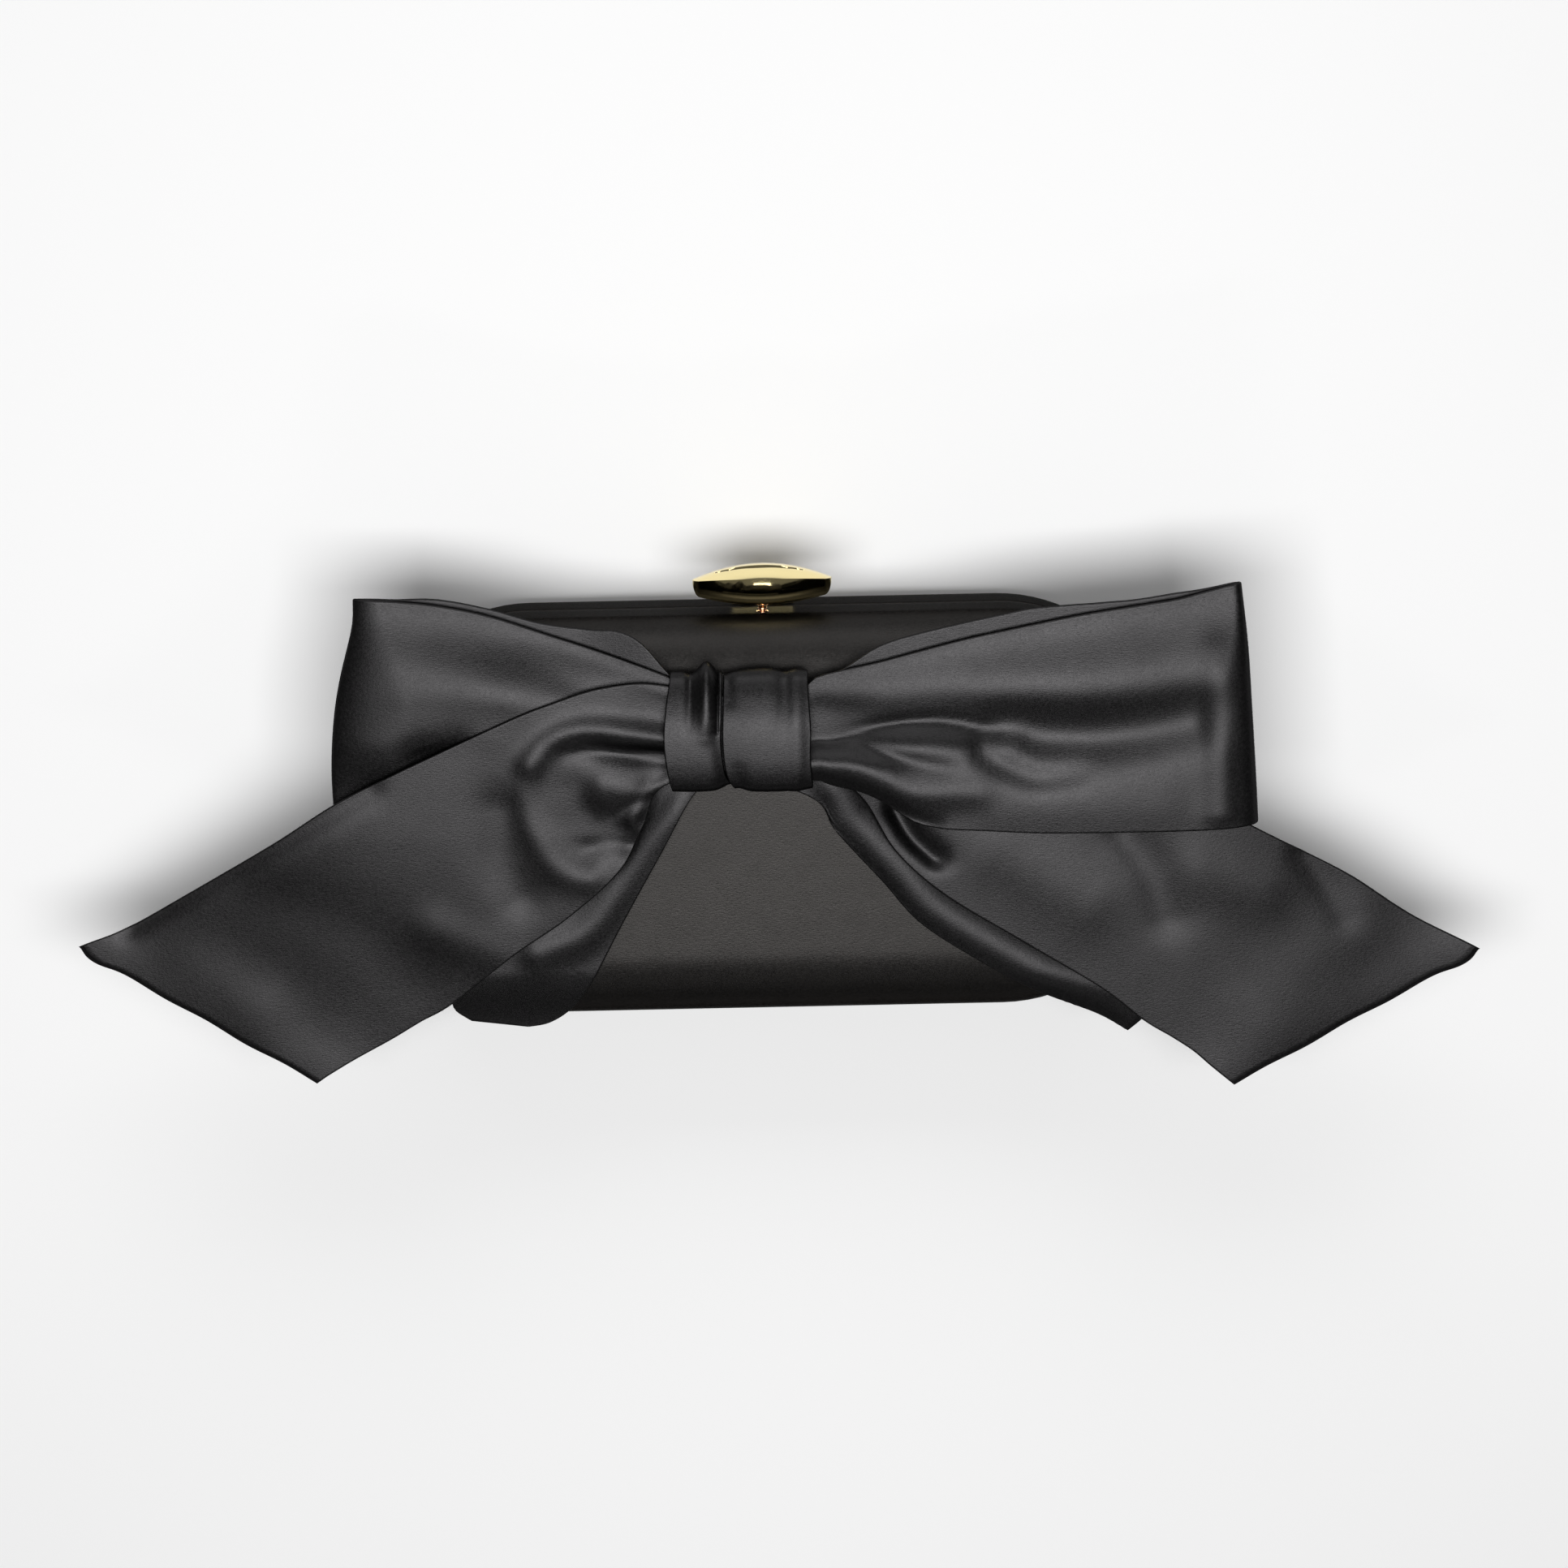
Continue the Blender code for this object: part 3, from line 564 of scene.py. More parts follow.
def make_frame(side, is_front, finish):
    """Rim frame with softened lip edges."""
    lip_back, rim, skirt = 20.95, RIM_DEPTH, 15.05
    section = (
        (1.25, rim), (1.1, rim - 0.15), (1.1, lip_back + 0.1), (1.2, lip_back),
        (2.9, lip_back), (2.9, skirt), (3.7, skirt), (3.7, lip_back),
        (5.05, lip_back), (5.2, lip_back + 0.15), (5.2, rim - 0.2), (5.0, rim),
    )
    rings = [outline_ring(i, d, is_front) for i, d in section]
    points, faces = lofted(rings, closed=True)
    name = side + "_rim_frame"
    mesh_object(name, points, faces, finish, "case_" + side, [side + "_frame"])


# ================================================================ bow
CLOTH = 0.8
BOW_BODY = "case_front"
TAIL_DROOP = 6.0
TAIL_DROOP_REACH = 80.0


def front_face_height(x, y):
    """Height of the front cover under the bow; it falls away round the edge roll."""
    centre_x = HALF_WIDTH - CORNER_RADIUS
    centre_y = HALF_HEIGHT - CORNER_RADIUS
    far = np.hypot(np.maximum(np.abs(x) - centre_x, 0), np.maximum(np.abs(y) - centre_y, 0))
    inset = np.clip(CORNER_RADIUS - far, 0, SHOULDER)
    return DEPTH - EDGE_ROLL + EDGE_ROLL * np.sqrt(np.maximum(1 - (1 - inset / SHOULDER) ** 2, 0))


def side_droop(x):
    """How far a tail has sunk where it hangs out past the side of the case."""
    return TAIL_DROOP * smooth_step((np.abs(x) - HALF_WIDTH) / TAIL_DROOP_REACH)


def ribbon_plan(rows, count_along, count_across):
    """(x, y) grid of a ribbon whose rows give its upper and lower edge points."""
    upper = smooth_line([r[0] for r in rows], count_along)
    lower = smooth_line([r[1] for r in rows], count_along)
    v = crowded_ends(count_across)[None, :, None]
    return upper[:, None, :] * (1 - v) + lower[:, None, :] * v


def loop_plan(end_x, top, bottom, knot_x, count_along, count_across):
    """x and y grids of one layer of a loop, from the knot out to its fold."""
    v = np.repeat(crowded_ends(count_across)[None, :], count_along, axis=0)
    t = np.repeat(crowded_last(count_along)[:, None], count_across, axis=1)
    x = knot_x + (end_x(v) - knot_x) * t
    y = top(x) + (bottom(x) - top(x)) * v
    return x, y, t, v


LEFT_LOOP_FOLDS = Folds(
    (((-24, 37), (-40, 42.6), (-60, 49)), 0.8, 0.2, 3.0),
    (((-22, 31), (-36, 34), (-52, 40)), -1.4, -0.2, 3.4),
    (((-88, 21), (-80, 22)), -1.6, -1.4, 5.5),
    (((-66, 41), (-84, 46), (-98, 52)), 0.8, 0.6, 8.0),
)

RIGHT_LOOP_FOLDS = Folds(
    (((10, 25.6), (20, 26), (28, 27.4), (37, 28.6), (47, 28.4), (56, 26.4)), -3.6, -3.4, (9.5, 4.4)),
    (((70, 25), (84, 24.6), (98, 26), (108, 28)), -3.5, -2.6, (9.5, 7.0)),
    (((10, 25.2), (20, 25.8), (28.2, 27.4), (37.3, 28.8), (47.5, 28.8), (56.6, 26.8)), -1.3, -0.3, 1.6),
    (((10, 33), (24, 34)), -1.3, -0.8, 5.5),
    (((26, 21.8), (37, 19.0), (46, 17.0)), -1.3, -0.4, 2.4),
    (((56, 20), (62, 16.8), (69, 13.8), (80, 14.6)), -1.4, -0.5, 3.2),
    (((11, 19.6), (21.2, 18.4), (30.2, 14.5), (38.1, 10.8), (54, 10.6)), 1.6, 0.7, 4.0),
    (((13, 13.0), (24.4, 9.4), (33.5, 5.2), (41.6, 2.0)), -2.2, -1.0, 2.8),
    (((115.0, 46), (115.6, 25), (116.0, 4)), 0.7, 1.0, 4.2),
    (((60, 6), (100, 6)), 0.5, 0.5, 8.0),
)

LEFT_TAIL_FOLDS = Folds(
    (((-24, 25.2), (-35, 27.2), (-43.4, 28.4), (-50.1, 27.8), (-56, 25), (-60, 20)), 1.9, 0.9, 3.4),
    (
        ((-60, 20), (-62, 11.8), (-61, 5), (-58, -1.5), (-55, -6.5), (-50.5, -10), (-46, -11)),
        0.5, 0.9, 4.0,
    ),
    (((-23, 20.5), (-33, 21.5), (-44, 23), (-50, 22.5)), -2.4, -0.4, 2.2),
    (((-50, 12), (-49.6, 4), (-46, -2)), -0.5, -1.0, 4.6),
    (((-46, 4.2), (-40.5, 1.6), (-35.5, -1)), -1.0, -1.8, 4.4),
    (((-41, 13.8), (-35, 12.6)), 1.2, 1.2, 5.0),
    (((-24, 14.8), (-31.3, 9.8), (-34.4, 4.3), (-33.2, 1.5)), 0.9, 0.6, 2.2),
    (((-26.5, 10.9), (-33, 9.2), (-40, 5.9)), -0.8, -0.4, 1.8),
    (((-68, 7), (-68, -5), (-63.5, -15)), -1.0, -1.2, 6.5),
    (((-134, -14), (-108, -22), (-92, -38)), -0.4, -0.5, 9.0),
    (((-102, 14), (-128, -1), (-166, -23)), -0.8, -1.3, 4.0),
    (((-150, -33), (-134, -45)), 0.6, 0.9, 9.5),
    (((-182, -30), (-119, -66)), 1.6, 1.2, 13.0),
    (((-86, -24), (-66, -34)), 0.7, 0.5, 6.0),
)

RIGHT_TAIL_FOLDS = Folds(
    (((33, 3.5), (37, -3.5), (43, -9.5)), -2.4, -1.8, (4.0, 2.4)),
    (((92, -3), (99.4, -14), (103, -26)), -1.2, -0.9, (7.0, 5.0)),
    (((139, -11), (144.4, -19.5), (149, -28)), -0.7, -0.5, (5.0, 4.0)),
    (((60, -8), (82, -22)), 0.7, 0.7, 9.0),
    (((152, -32), (130, -52)), 0.8, 0.8, 12.0),
    (((187, -38), (121, -72)), 1.6, 1.2, 13.0),
    (((112, -14), (128, -20)), 0.6, 0.6, 8.0),
)

LOBE_FOLDS = Folds(
    (((-19, 8.4), (-29.5, -3), (-38.4, -16), (-47.9, -27.7), (-60, -33)), 1.5, 1.3, 4.8),
)


def left_loop_front(x, y):
    """Height of the left loop's front layer away from its outer fold."""
    near = smooth_step((-24 - x) / 40)
    pressed = 3.6 * smooth_step((27 - y) / 20) * smooth_step((-52 - x) / 26)
    return 51.6 + 1.6 * near - pressed + LEFT_LOOP_FOLDS(x, y)


def make_layered_loop(name, node, sizes, front_height, back_height, finish):
    """A ribbon that leaves the knot, folds over at its outer end and returns in front.

    The layers nearly touch along the top edge, part below it and close again at the fold.
    """
    end_x, front_top, back_top, front_bottom, back_bottom, knot_x, fold_length, fold_power = sizes
    along, across = 96, 64
    top_gap, least_gap = 1.5, 1.4
    back_lift = 0.45
    x, y, t, v = loop_plan(end_x, front_top, front_bottom, knot_x, along, across)
    bx, by, _, _ = loop_plan(end_x, back_top, back_bottom, knot_x, along, across)
    to_end = np.abs(x - end_x(v))
    roll = fold_length(v)
    full = (1 - (1 - np.clip(to_end / roll, 0, 1)) ** fold_power) ** (1 / fold_power)
    top = front_height(x, y)
    low = back_height(bx, by)
    parted = 0.15 + 0.85 * smooth_step(v / 0.42)
    top = low + top_gap + (top - low - top_gap) * parted
    top = soft_maximum(top, low + least_gap)
    middle = (top + low) / 2
    rest = middle + (low - middle) * back_lift
    centre = rest + (middle - rest) * full
    front = np.stack([x, y, centre + (top - centre) * full], axis=2)
    back = np.stack([bx, by, centre + (low - centre) * full], axis=2)
    ends = smooth_step((t - 0.86) / 0.14)[..., None]
    back[..., 1:2] = back[..., 1:2] * (1 - ends) + front[..., 1:2] * ends
    grid = np.vstack([back, front[:-1][::-1]])
    points, faces = cloth_mesh(grid, CLOTH)
    loop = mesh_object(name, points, faces, finish, BOW_BODY, [node])


def make_left_loop(finish):
    end_x = smooth_curve(
        (
            (0.0, -104.0), (0.12, -104.6), (0.32, -108.0), (0.48, -110.0),
            (0.68, -111.2), (0.86, -111.2), (1.0, -110.6),
        )
    )
    front_top = smooth_curve(
        (
            (-112, 62.6), (-104, 62.6), (-94, 62), (-83, 60.6), (-70, 57.6),
            (-54, 52), (-37, 46), (-24, 41), (-19, 38), (-8, 36),
        )
    )
    back_top = smooth_curve(
        (
            (-112, 62.6), (-104, 62.6), (-94, 62.1), (-83, 61.8), (-70, 59), (-57, 55), (-44, 53),
            (-37, 52.6), (-31, 49.5), (-25, 42.5), (-20, 38), (-8, 35.5),
        )
    )
    front_bottom = smooth_curve(((-112, -1.4), (-90, 0.6), (-66, 4), (-45, 9), (-26, 15), (-8, 16.5)))
    back_bottom = smooth_curve(((-112, -1.4), (-90, 1.6), (-66, 6), (-45, 11), (-26, 16), (-8, 17.5)))

    def back_height(x, y):
        return 46.6 + 3.0 * smooth_step((x + 50) / 30) + 0.9 * smooth_step((-60 - x) / 40)

    def fold_length(v):
        return 5.0 + 13.5 * smooth_step((v + 0.06) / 0.56)

    sizes = (end_x, front_top, back_top, front_bottom, back_bottom, -7.5, fold_length, 1.35)
    make_layered_loop(
        "left_loop_ribbon", "left_loop", sizes, left_loop_front, back_height, finish
    )


def make_right_loop(finish):
    end_x = smooth_curve(((0.0, 121.6), (0.25, 123.3), (0.5, 124.3), (0.8, 125.4), (1.0, 126.0)))
    front_top = smooth_curve(
        (
            (-7, 35), (9, 38), (14, 41.2), (28, 44), (36, 46), (47, 48.8), (57, 51),
            (79, 55.2), (98, 58), (106, 59.2), (113, 61), (121, 62.8), (128, 63.2),
        )
    )
    back_top = smooth_curve(
        (
            (-7, 35), (9, 37.6), (15, 40.8), (19, 41.8), (23, 44), (28, 47.2), (33, 49.3),
            (41, 51.4), (51, 53.6), (61, 55.6), (70, 57.2), (87, 58.2), (97, 59), (112, 61.4),
            (121, 63.2), (128, 63.4),
        )
    )
    front_bottom = smooth_curve(
        (
            (-7, 16), (13, 14), (17, 12.4), (24, 10.8), (30, 8), (34, 5), (39, 2), (46, 0.8), (56, 0.2),
            (73, -0.8), (102, -1), (114, -0.8), (128, 0.2),
        )
    )
    back_bottom = smooth_curve(
        ((-7, 17), (13, 15), (24, 12), (34, 7), (46, 3), (73, 1), (102, 0.4), (114, 0), (128, 0.2))
    )

    def front_height(x, y):
        near = smooth_step((x - 10) / 42)
        return 56.1 + 0.9 * near + RIGHT_LOOP_FOLDS(x, y)

    def back_height(x, y):
        return 51.9 - 1.2 * smooth_step((x - 14) / 16)

    def fold_length(v):
        return 2.2 + 6.0 * smooth_step((v - 0.02) / 0.5)

    sizes = (end_x, front_top, back_top, front_bottom, back_bottom, -6.0, fold_length, 2.0)
    make_layered_loop(
        "right_loop_ribbon", "right_loop", sizes, front_height, back_height, finish
    )


def wave_end(plan, outward):
    """Makes the cut end of a ribbon a little uneven and blunts its outer corner."""
    rows, cols = plan.shape[:2]
    near_end = smooth_step((np.linspace(0, 1, rows) - 0.9) / 0.1)[:, None]
    v = crowded_ends(cols)[None, :]
    ripple = 0.22 * np.sin(19 * v + 0.8)
    beside_corner = 0.7 * np.exp(-(((v - 0.09) / 0.06) ** 2))
    blunt_corner = 1.2 * np.exp(-((v / 0.03) ** 2))
    wave = ripple + beside_corner - blunt_corner
    plan[..., 0] += near_end * wave * outward[0]
    plan[..., 1] += near_end * wave * outward[1]


def ribbon_piece(
    name, node, rows, height, counts, finish, end_outward=None
):
    """A single layer of ribbon, from its edge points and a function for its height."""
    plan = ribbon_plan(rows, *counts)
    if end_outward is not None:
        wave_end(plan, end_outward)
    x = plan[..., 0]
    y = plan[..., 1]
    grid = np.dstack([x, y, height(x, y)])
    points, faces = cloth_mesh(grid, CLOTH)
    piece = mesh_object(name, points, faces, finish, BOW_BODY, [node])


def make_left_tail(finish):
    """Left tail: it lies on the case, steps up over the left loop and hangs out to the side."""
    step_x, step_y = -105, -23
    step_direction = (0.348, 0.937)
    knot_height, on_case, step_rise = 53.6, 50.6, 4.0
    least_over_loop, least_over_case = 1.25, 2.9
    rows = (
        ((-7.6, 36), (-7.6, 17)),
        ((-26, 39.6), (-26.4, 13)),
        ((-34, 40.2), (-32, 2)),
        ((-44, 38.8), (-38, -9)),
        ((-53, 36), (-52, -21.6)),
        ((-64, 32), (-66.5, -31.6)),
        ((-84, 23), (-82.6, -44.6)),
        ((-97, 17), (-91, -49.4)),
        ((-111.5, 9.6), (-99, -54.2)),
        ((-127.5, -0.8), (-108, -59)),
        ((-150, -14.4), (-113, -61.8)),
        ((-166, -23.6), (-116, -63.6)),
        ((-180, -29.4), (-118.6, -65.4)),
    )

    def height(x, y):
        up_the_step = (x - step_x) * step_direction[0] + (y - step_y) * step_direction[1]
        laid = on_case + step_rise * smooth_step((up_the_step + 36) / 66) - side_droop(x)
        away = smooth_step((-26 - x) / 14)
        held = knot_height + (laid - knot_height) * away
        fold_share = smooth_step((-18 - x) / 8)
        z = held + LEFT_TAIL_FOLDS(x, y) * fold_share
        over_loop = smooth_step((x + 116) / 6) * smooth_step((y + 4) / 5)
        loop_top = left_loop_front(x, y) + least_over_loop
        z = z + (soft_maximum(z, loop_top) - z) * over_loop
        return np.maximum(z, front_face_height(x, y) * (np.abs(x) < 100) + least_over_case)

    ribbon_piece(
        "left_tail_ribbon", "left_tail", rows, height, (150, 76), finish,
        (-0.51, -0.86),
    )


def make_right_tail(finish):
    """Right tail: it comes out from under the right loop and hangs out to the side."""
    knot_height, on_case = 50.2, 48.0
    rows = (
        ((-6, 37), (-6, 17)),
        ((13.5, 38), (14, 14.6)),
        ((32, 34), (24.5, 7.6)),
        ((46, 31), (33, -7)),
        ((60, 27), (45.6, -19)),
        ((84, 19), (66, -32.2)),
        ((106, 8.5), (86, -45)),
        ((127.5, -3.6), (97, -54)),
        ((139, -10), (104.5, -58.8)),
        ((152, -17.4), (110, -62.6)),
        ((167, -28), (114.5, -66.6)),
        ((185.6, -38.6), (120.6, -71.8)),
    )

    def height(x, y):
        laid = on_case - side_droop(x)
        away = smooth_step((x - 13) / 18)
        return knot_height + (laid - knot_height) * away + RIGHT_TAIL_FOLDS(x, y) * away

    ribbon_piece(
        "right_tail_ribbon", "right_tail", rows, height, (150, 70), finish,
        (0.45, -0.89),
    )


def make_lobe(finish):
    """Lower left loop, seen as a rounded lobe that hangs past the bottom edge."""
    clear = 1.2
    rows = (
        ((-8, 28), (-8, 14)),
        ((-22, 22), (-18, 9.6)),
        ((-36, 10), (-28, -7.6)),
        ((-52, -8), (-38, -25.6)),
        ((-67, -24), (-45.4, -39.6)),
        ((-78, -36), (-49.4, -46)),
        ((-82.5, -43), (-53.4, -50.6)),
        ((-83, -48.5), (-58.4, -53.6)),
        ((-78.5, -52.6), (-64, -54.6)),
    )

    def height(x, y):
        knot = 1.2 * (1 - smooth_step((-23 - x) / 16))
        lie = np.minimum(front_face_height(x, y) + clear, DEPTH + clear)
        hang = 45.2 - 5.0 * smooth_step((-38 - y) / 18)
        return np.maximum(lie, hang) + knot + LOBE_FOLDS(x, y) * smooth_step((-14 - x) / 10)

    ribbon_piece(
        "left_under_loop_ribbon", "left_under_loop", rows, height, (110, 44), finish,
    )


def make_under_strip(finish):
    """Lower right loop, seen as a narrow rounded fold beside the right tail."""
    clear, crown_rise, crown_width, sunk = 1.0, 1.5, 11.0, 0.4
    rows = (
        ((-6, 28), (-6, 14)),
        ((13.5, 20), (12.4, 6.6)),
        ((22, 12), (18, -2.4)),
        ((34, 2), (30, -16.4)),
        ((46, -10), (39.6, -27.6)),
        ((62, -22), (55.6, -38.6)),
        ((78, -34), (70, -46.8)),
        ((90, -44), (85, -53.4)),
        ((98, -54), (93.4, -58.6)),
    )
    edge = smooth_line([r[1] for r in rows], 60)

    def height(x, y):
        knot = 1.2 * (1 - smooth_step((x - 10) / 16))
        far = np.min(np.hypot(x[..., None] - edge[:, 0], y[..., None] - edge[:, 1]), axis=-1)
        crown = crown_rise * np.sin(np.pi * np.clip(far / crown_width, 0, 1))
        lie = np.minimum(front_face_height(x, y) + clear, DEPTH + clear)
        hang = 45.0 - 3.0 * smooth_step((-40 - y) / 18)
        return np.maximum(lie, hang) + knot + crown * smooth_step((x - 8) / 10) - sunk

    ribbon_piece(
        "right_under_loop_ribbon", "right_under_loop", rows, height, (110, 40), finish,
    )


# ---------------------------------------------------------------- knot
# (y, z) round the waist of the bow, from one butted end behind to the other.
KNOT_SECTION = (
    (26.6, 47.99), (16.5, 48.2), (12.6, 49.8), (12.2, 52.6), (12.8, 55.4), (14.8, 57.3), (19.0, 58.1),
    (25.0, 58.2), (30.0, 57.8), (34.0, 56.9), (38.0, 55.5), (41.0, 53.6), (41.6, 51.0), (38.5, 48.2),
    (27.4, 47.99),
)


def wrap_piece(name, node, left_edge, right_edge, swell, finish):
    """A band of ribbon round the middle of the bow, its ends butted behind."""
    around, across = 170, 56
    w = crowded_ends(across)
    section = smooth_line(KNOT_SECTION, around)
    along = np.gradient(section, axis=0)
    out = np.stack([-along[:, 1], along[:, 0]], axis=1)
    out /= np.linalg.norm(out, axis=1, keepdims=True)
    grid = np.zeros((around, across, 3))
    for i, (y, z) in enumerate(section):
        x0 = left_edge(y)
        x1 = right_edge(y)
        x = x0 + (x1 - x0) * w
        front = float(smooth_step((z - 48.6) / 3.0))
        raised = swell(x, np.full_like(x, y)) * front
        grid[i, :, 0] = x
        grid[i, :, 1] = y + raised * out[i, 0]
        grid[i, :, 2] = z + raised * out[i, 1]
    points, faces = cloth_mesh(grid, CLOTH)
    piece = mesh_object(name, points, faces, finish, BOW_BODY, [node])


def make_knot(finish):
    """Two bands side by side: a narrow one with a raised fold and a wide one."""
    narrow_folds = Folds(
        (((-14.4, 47), (-14.6, 40), (-14.8, 33), (-15.2, 27)), 3.2, 0.3, 1.9),
        (((-18.6, 46), (-18.8, 38), (-19.4, 29)), -1.1, -0.2, 1.3),
        (((-11.8, 47), (-12.0, 36), (-12.2, 28)), -1.0, -0.4, 0.7),
        (((-11.6, 27), (-10.4, 20), (-8.6, 10)), -0.5, -1.6, 2.6),
    )
    wide_folds = Folds(
        (((5.2, 43), (5.2, 34), (4.4, 28)), -0.9, -0.1, 2.2),
        (((-9.8, 45), (-9.0, 36)), -0.9, -0.3, 1.8),
        (((-6.8, 10), (-7.0, 18)), -0.9, -0.2, 2.0),
        (((8, 40), (8.4, 24), (8.0, 12)), 0.35, 0.35, 2.0),
    )
    narrow_left = smooth_curve(
        ((8, -23.8), (12, -24.0), (18, -25.2), (26, -25.9), (34, -25.2), (41, -24.0), (46, -23.6))
    )
    narrow_right = smooth_curve(((8, -8.4), (12, -8.6), (17, -10.4), (25, -11.2), (34, -10.9), (46, -10.4)))
    wide_left = smooth_curve(((8, -7.9), (12, -8.1), (17, -10.1), (25, -10.9), (34, -10.6), (46, -10.1)))
    wide_right = smooth_curve(((8, 12.2), (12, 12.1), (20, 11.6), (28, 11.8), (36, 11.4), (46, 11.1)))

    def narrow_swell(x, y):
        return narrow_folds(x, y) + 0.5 * np.cos((x + 18) / 7)

    def wide_swell(x, y):
        return wide_folds(x, y) + 0.9 * np.cos((x - 1) / 8)

    wrap_piece(
        "knot_narrow_ribbon", "knot_narrow_wrap", narrow_left, narrow_right, narrow_swell, finish,
    )
    wrap_piece(
        "knot_wide_ribbon", "knot_wide_wrap", wide_left, wide_right, wide_swell, finish,
    )


# ================================================================ clasp
def make_lozenge(finish):
    """Polished blunt lozenge with a slim finger groove, on its two lever arms."""
    half, centre_z, end_start = 18.0, 31.0, 0.9
    end_y, middle_y, lean, dome = 62.1, 62.8, 0.9, 3.4
    groove_x, groove_half, groove_up, groove_deep = -0.6, 11.8, 0.44, 1.3
    stations, around = 150, 200

    def grown(at_end, in_middle, taper):
        return at_end + (in_middle - at_end) * taper

    points = []
    for s in range(1, stations):
        share = -math.cos(math.pi * s / stations)
        taper = 1 - share**2
        end = max(0.0, (abs(share) - end_start) / (1 - end_start))
        round_end = math.sqrt(1 - end**2)
        depth = grown(2.2, 8.6, taper) * round_end
        belly = grown(4.0 * round_end, 7.6, taper)
        x = half * share
        groove_run = max(0.0, 1 - ((x - groove_x) / groove_half) ** 2)
        for a in range(around):
            angle = 2 * math.pi * a / around
            across = math.cos(angle)
            y = grown(end_y, middle_y, taper) + lean * across * taper
            z = centre_z + depth * across
            if math.sin(angle) > 0:
                y += dome * taper * (1 - abs(across) ** 2.4)
                if groove_run > 0:
                    off = abs(z - centre_z - groove_up * depth) / (0.15 + 0.75 * groove_run)
                    y -= groove_deep * groove_run**0.5 * float(smooth_step((1 - off) / 0.5))
            else:
                y -= belly * (1 - abs(across) ** 3.4)
            points.append((x, y, z))
    first = len(points)
    points.append((-half, end_y, centre_z))
    points.append((half, end_y, centre_z))
    faces = []
    for s in range(stations - 2):
        for a in range(around):
            b = (a + 1) % around
            faces.append([s * around + a, s * around + b, (s + 1) * around + b, (s + 1) * around + a])
    for a in range(around):
        b = (a + 1) % around
        faces.append([first, b, a])
        last = (stations - 2) * around
        faces.append([first + 1, last + a, last + b])
    name = "clasp_lozenge_polished"
    lozenge = mesh_object(name, points, faces, finish, "clasp", ["clasp_lozenge"])
    lozenge.data.set_sharp_from_angle(angle=math.radians(40))
    for number, (x0, x1) in enumerate(((-5.6, -2.2), (2.2, 5.6)), 1):
        make_lever_arm("clasp_lever_arm_%d" % number, x0, x1, finish)


def make_lever_arm(name, x0, x1, finish):
    """One arm of the clasp lever: an eye round the pivot pin and a bar up to the lozenge."""
    pivot_y, pivot_z, eye, bore, bar_end = 56.4, 15.8, 1.8, 0.86, 28.2
    steps = 28
    outer = []
    for i in range(steps + 1):
        angle = math.pi / 2 + math.pi * 1.5 * i / steps
        outer.append((pivot_y + eye * math.cos(angle), pivot_z + eye * math.sin(angle)))
    outer += [(pivot_y + eye, bar_end), (pivot_y, bar_end)]
    inner = []
    for y, z in outer:
        angle = math.atan2(z - pivot_z, y - pivot_y)
        inner.append((pivot_y + bore * math.cos(angle), pivot_z + bore * math.sin(angle)))
    bevel = 0.25
    middle = (x0 + x1) / 2

    def ring(outline, x, shrink):
        cy = pivot_y + 0.6
        cz = pivot_z + 4.0
        return [
            (x, y - shrink * np.sign(y - cy), z - shrink * np.sign(z - cz)) for y, z in outline
        ]

    rings = [
        ring(outer, x0, bevel), ring(outer, x0 + bevel, 0), ring(outer, middle, 0),
        ring(outer, x1 - bevel, 0), ring(outer, x1, bevel),
        [(x1, y, z) for y, z in inner], [(x0, y, z) for y, z in inner],
    ]
    points, faces = lofted([np.array(r) for r in rings], closed=True)
    arm = mesh_object(name, points, faces, finish, "clasp")
    arm.data.set_sharp_from_angle(angle=math.radians(35))


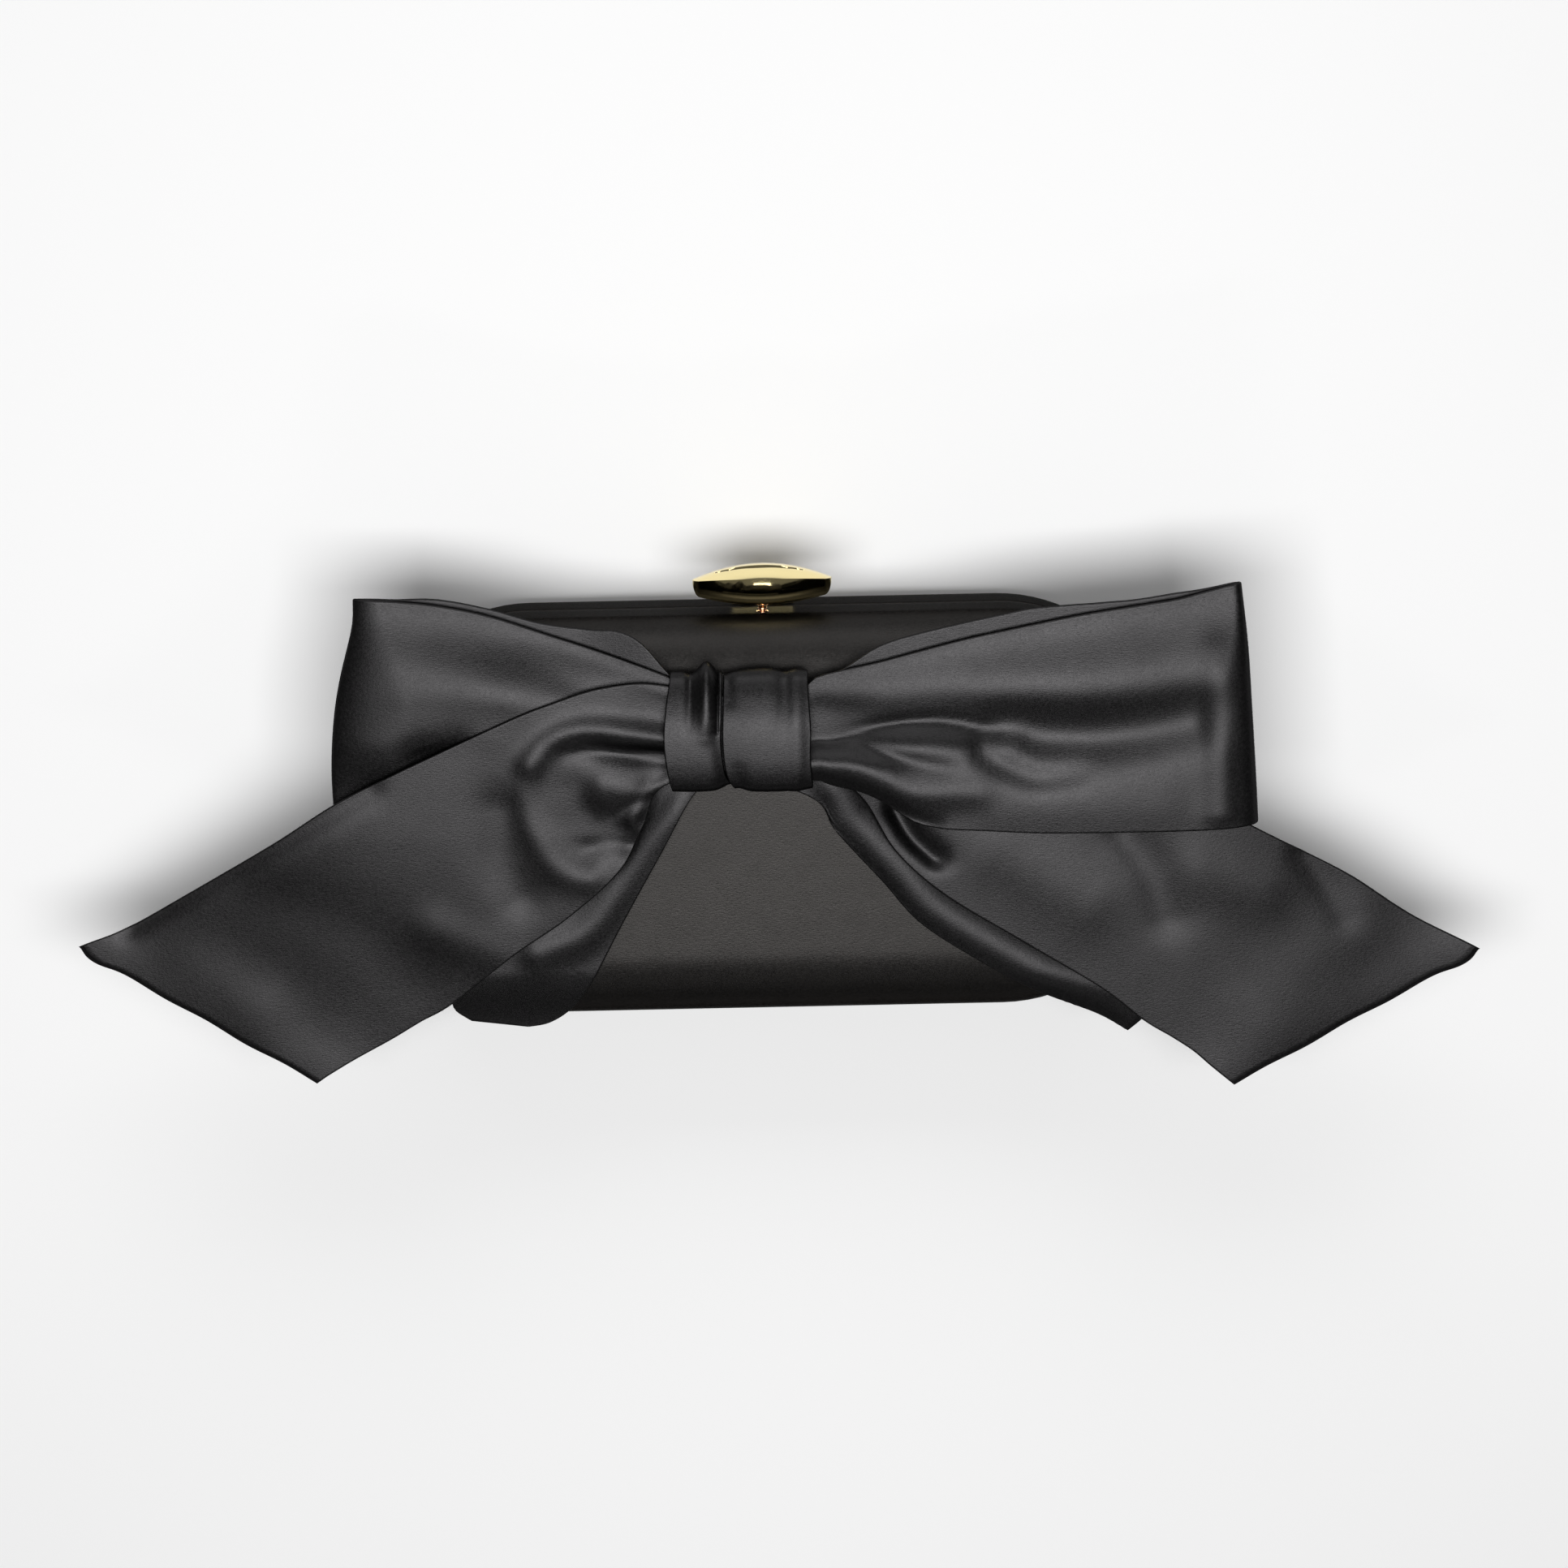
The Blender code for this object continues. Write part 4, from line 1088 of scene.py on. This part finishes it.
def make_stud(finish):
    """Ball stud turned smooth, from (y, radius) pairs."""
    around = 40
    centre_z = 31.0
    profile = (
        (48.9, 0.8), (49.12, 1.0), (49.12, 0.6), (53.3, 0.6), (53.3, 1.45), (53.42, 1.58), (53.55, 1.55),
        (53.68, 0.9), (53.76, 0.8), (53.88, 0.95), (54.05, 1.14), (54.3, 1.25), (54.55, 1.17),
        (54.78, 0.93), (54.93, 0.58), (54.98, 0.25),
    )
    angles = np.linspace(0, 2 * np.pi, around, endpoint=False)
    rings = []
    for y, radius in profile:
        height = centre_z + radius * np.sin(angles)
        rings.append(np.stack([radius * np.cos(angles), np.full(around, y), height], axis=1))
    points, faces = lofted(rings, closed=False)
    mesh_object("clasp_stud_turned", points, faces, finish, BOW_BODY, ["clasp_stud"])


# ================================================================ everything
def repaint(finish, *names):
    """Gives CAD nodes that show as they are a procedural material."""
    for name in names:
        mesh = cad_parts[name].data
        mesh.materials.clear()
        mesh.materials.append(finish)


def main():
    make_camera()
    make_studio()
    cover_satin = satin("cover_satin", (0.030, 0.0285, 0.0275), 0.33, 0.35, 0.7)
    ribbon_satin = satin("ribbon_satin", (0.0285, 0.0278, 0.0285), 0.31, 0.40, 0.5)
    lining_satin = satin("lining_satin", (0.030, 0.030, 0.031), 0.40, 0.35, 0.2)
    gold = polished_metal("pale_gold", (0.94, 0.80, 0.42), 0.07)
    rose = polished_metal("rose_gold", (0.86, 0.52, 0.36), 0.14)
    steel = polished_metal("bright_steel", (0.62, 0.62, 0.63), 0.22)
    black_steel = blackened_steel("blackened_steel")
    board = rough_stuff("case_board", (0.020, 0.019, 0.018), (0.045, 0.042, 0.040), 700.0, 0.9, 0.00008)
    wadding = rough_stuff("wadding", (0.66, 0.65, 0.62), (0.86, 0.85, 0.82), 450.0, 1.0, 0.0004)

    for side, is_front in (("back", False), ("front", True)):
        make_cover(side, is_front, cover_satin)
        make_lining(side, is_front, lining_satin)
        make_frame(side, is_front, black_steel)
        repaint(board, side + "_shell")
        make_padding(side, is_front, wadding)
        repaint(black_steel, "hinge_leaf_" + side)
        repaint(black_steel, *["hinge_rivet_%s_%d" % (side, n) for n in (1, 2, 3)])
    repaint(board, "bow_base")
    repaint(steel, "hinge_pin", "clasp_spring")
    repaint(gold, "clasp_bracket", "clasp_pivot_pin", "clasp_rivet_left", "clasp_rivet_right")
    repaint(black_steel, "stud_washer")

    make_lozenge(gold)
    make_stud(rose)
    make_lobe(ribbon_satin)
    make_under_strip(ribbon_satin)
    make_left_loop(ribbon_satin)
    make_right_tail(ribbon_satin)
    make_left_tail(ribbon_satin)
    make_right_loop(ribbon_satin)
    make_knot(ribbon_satin)


main()
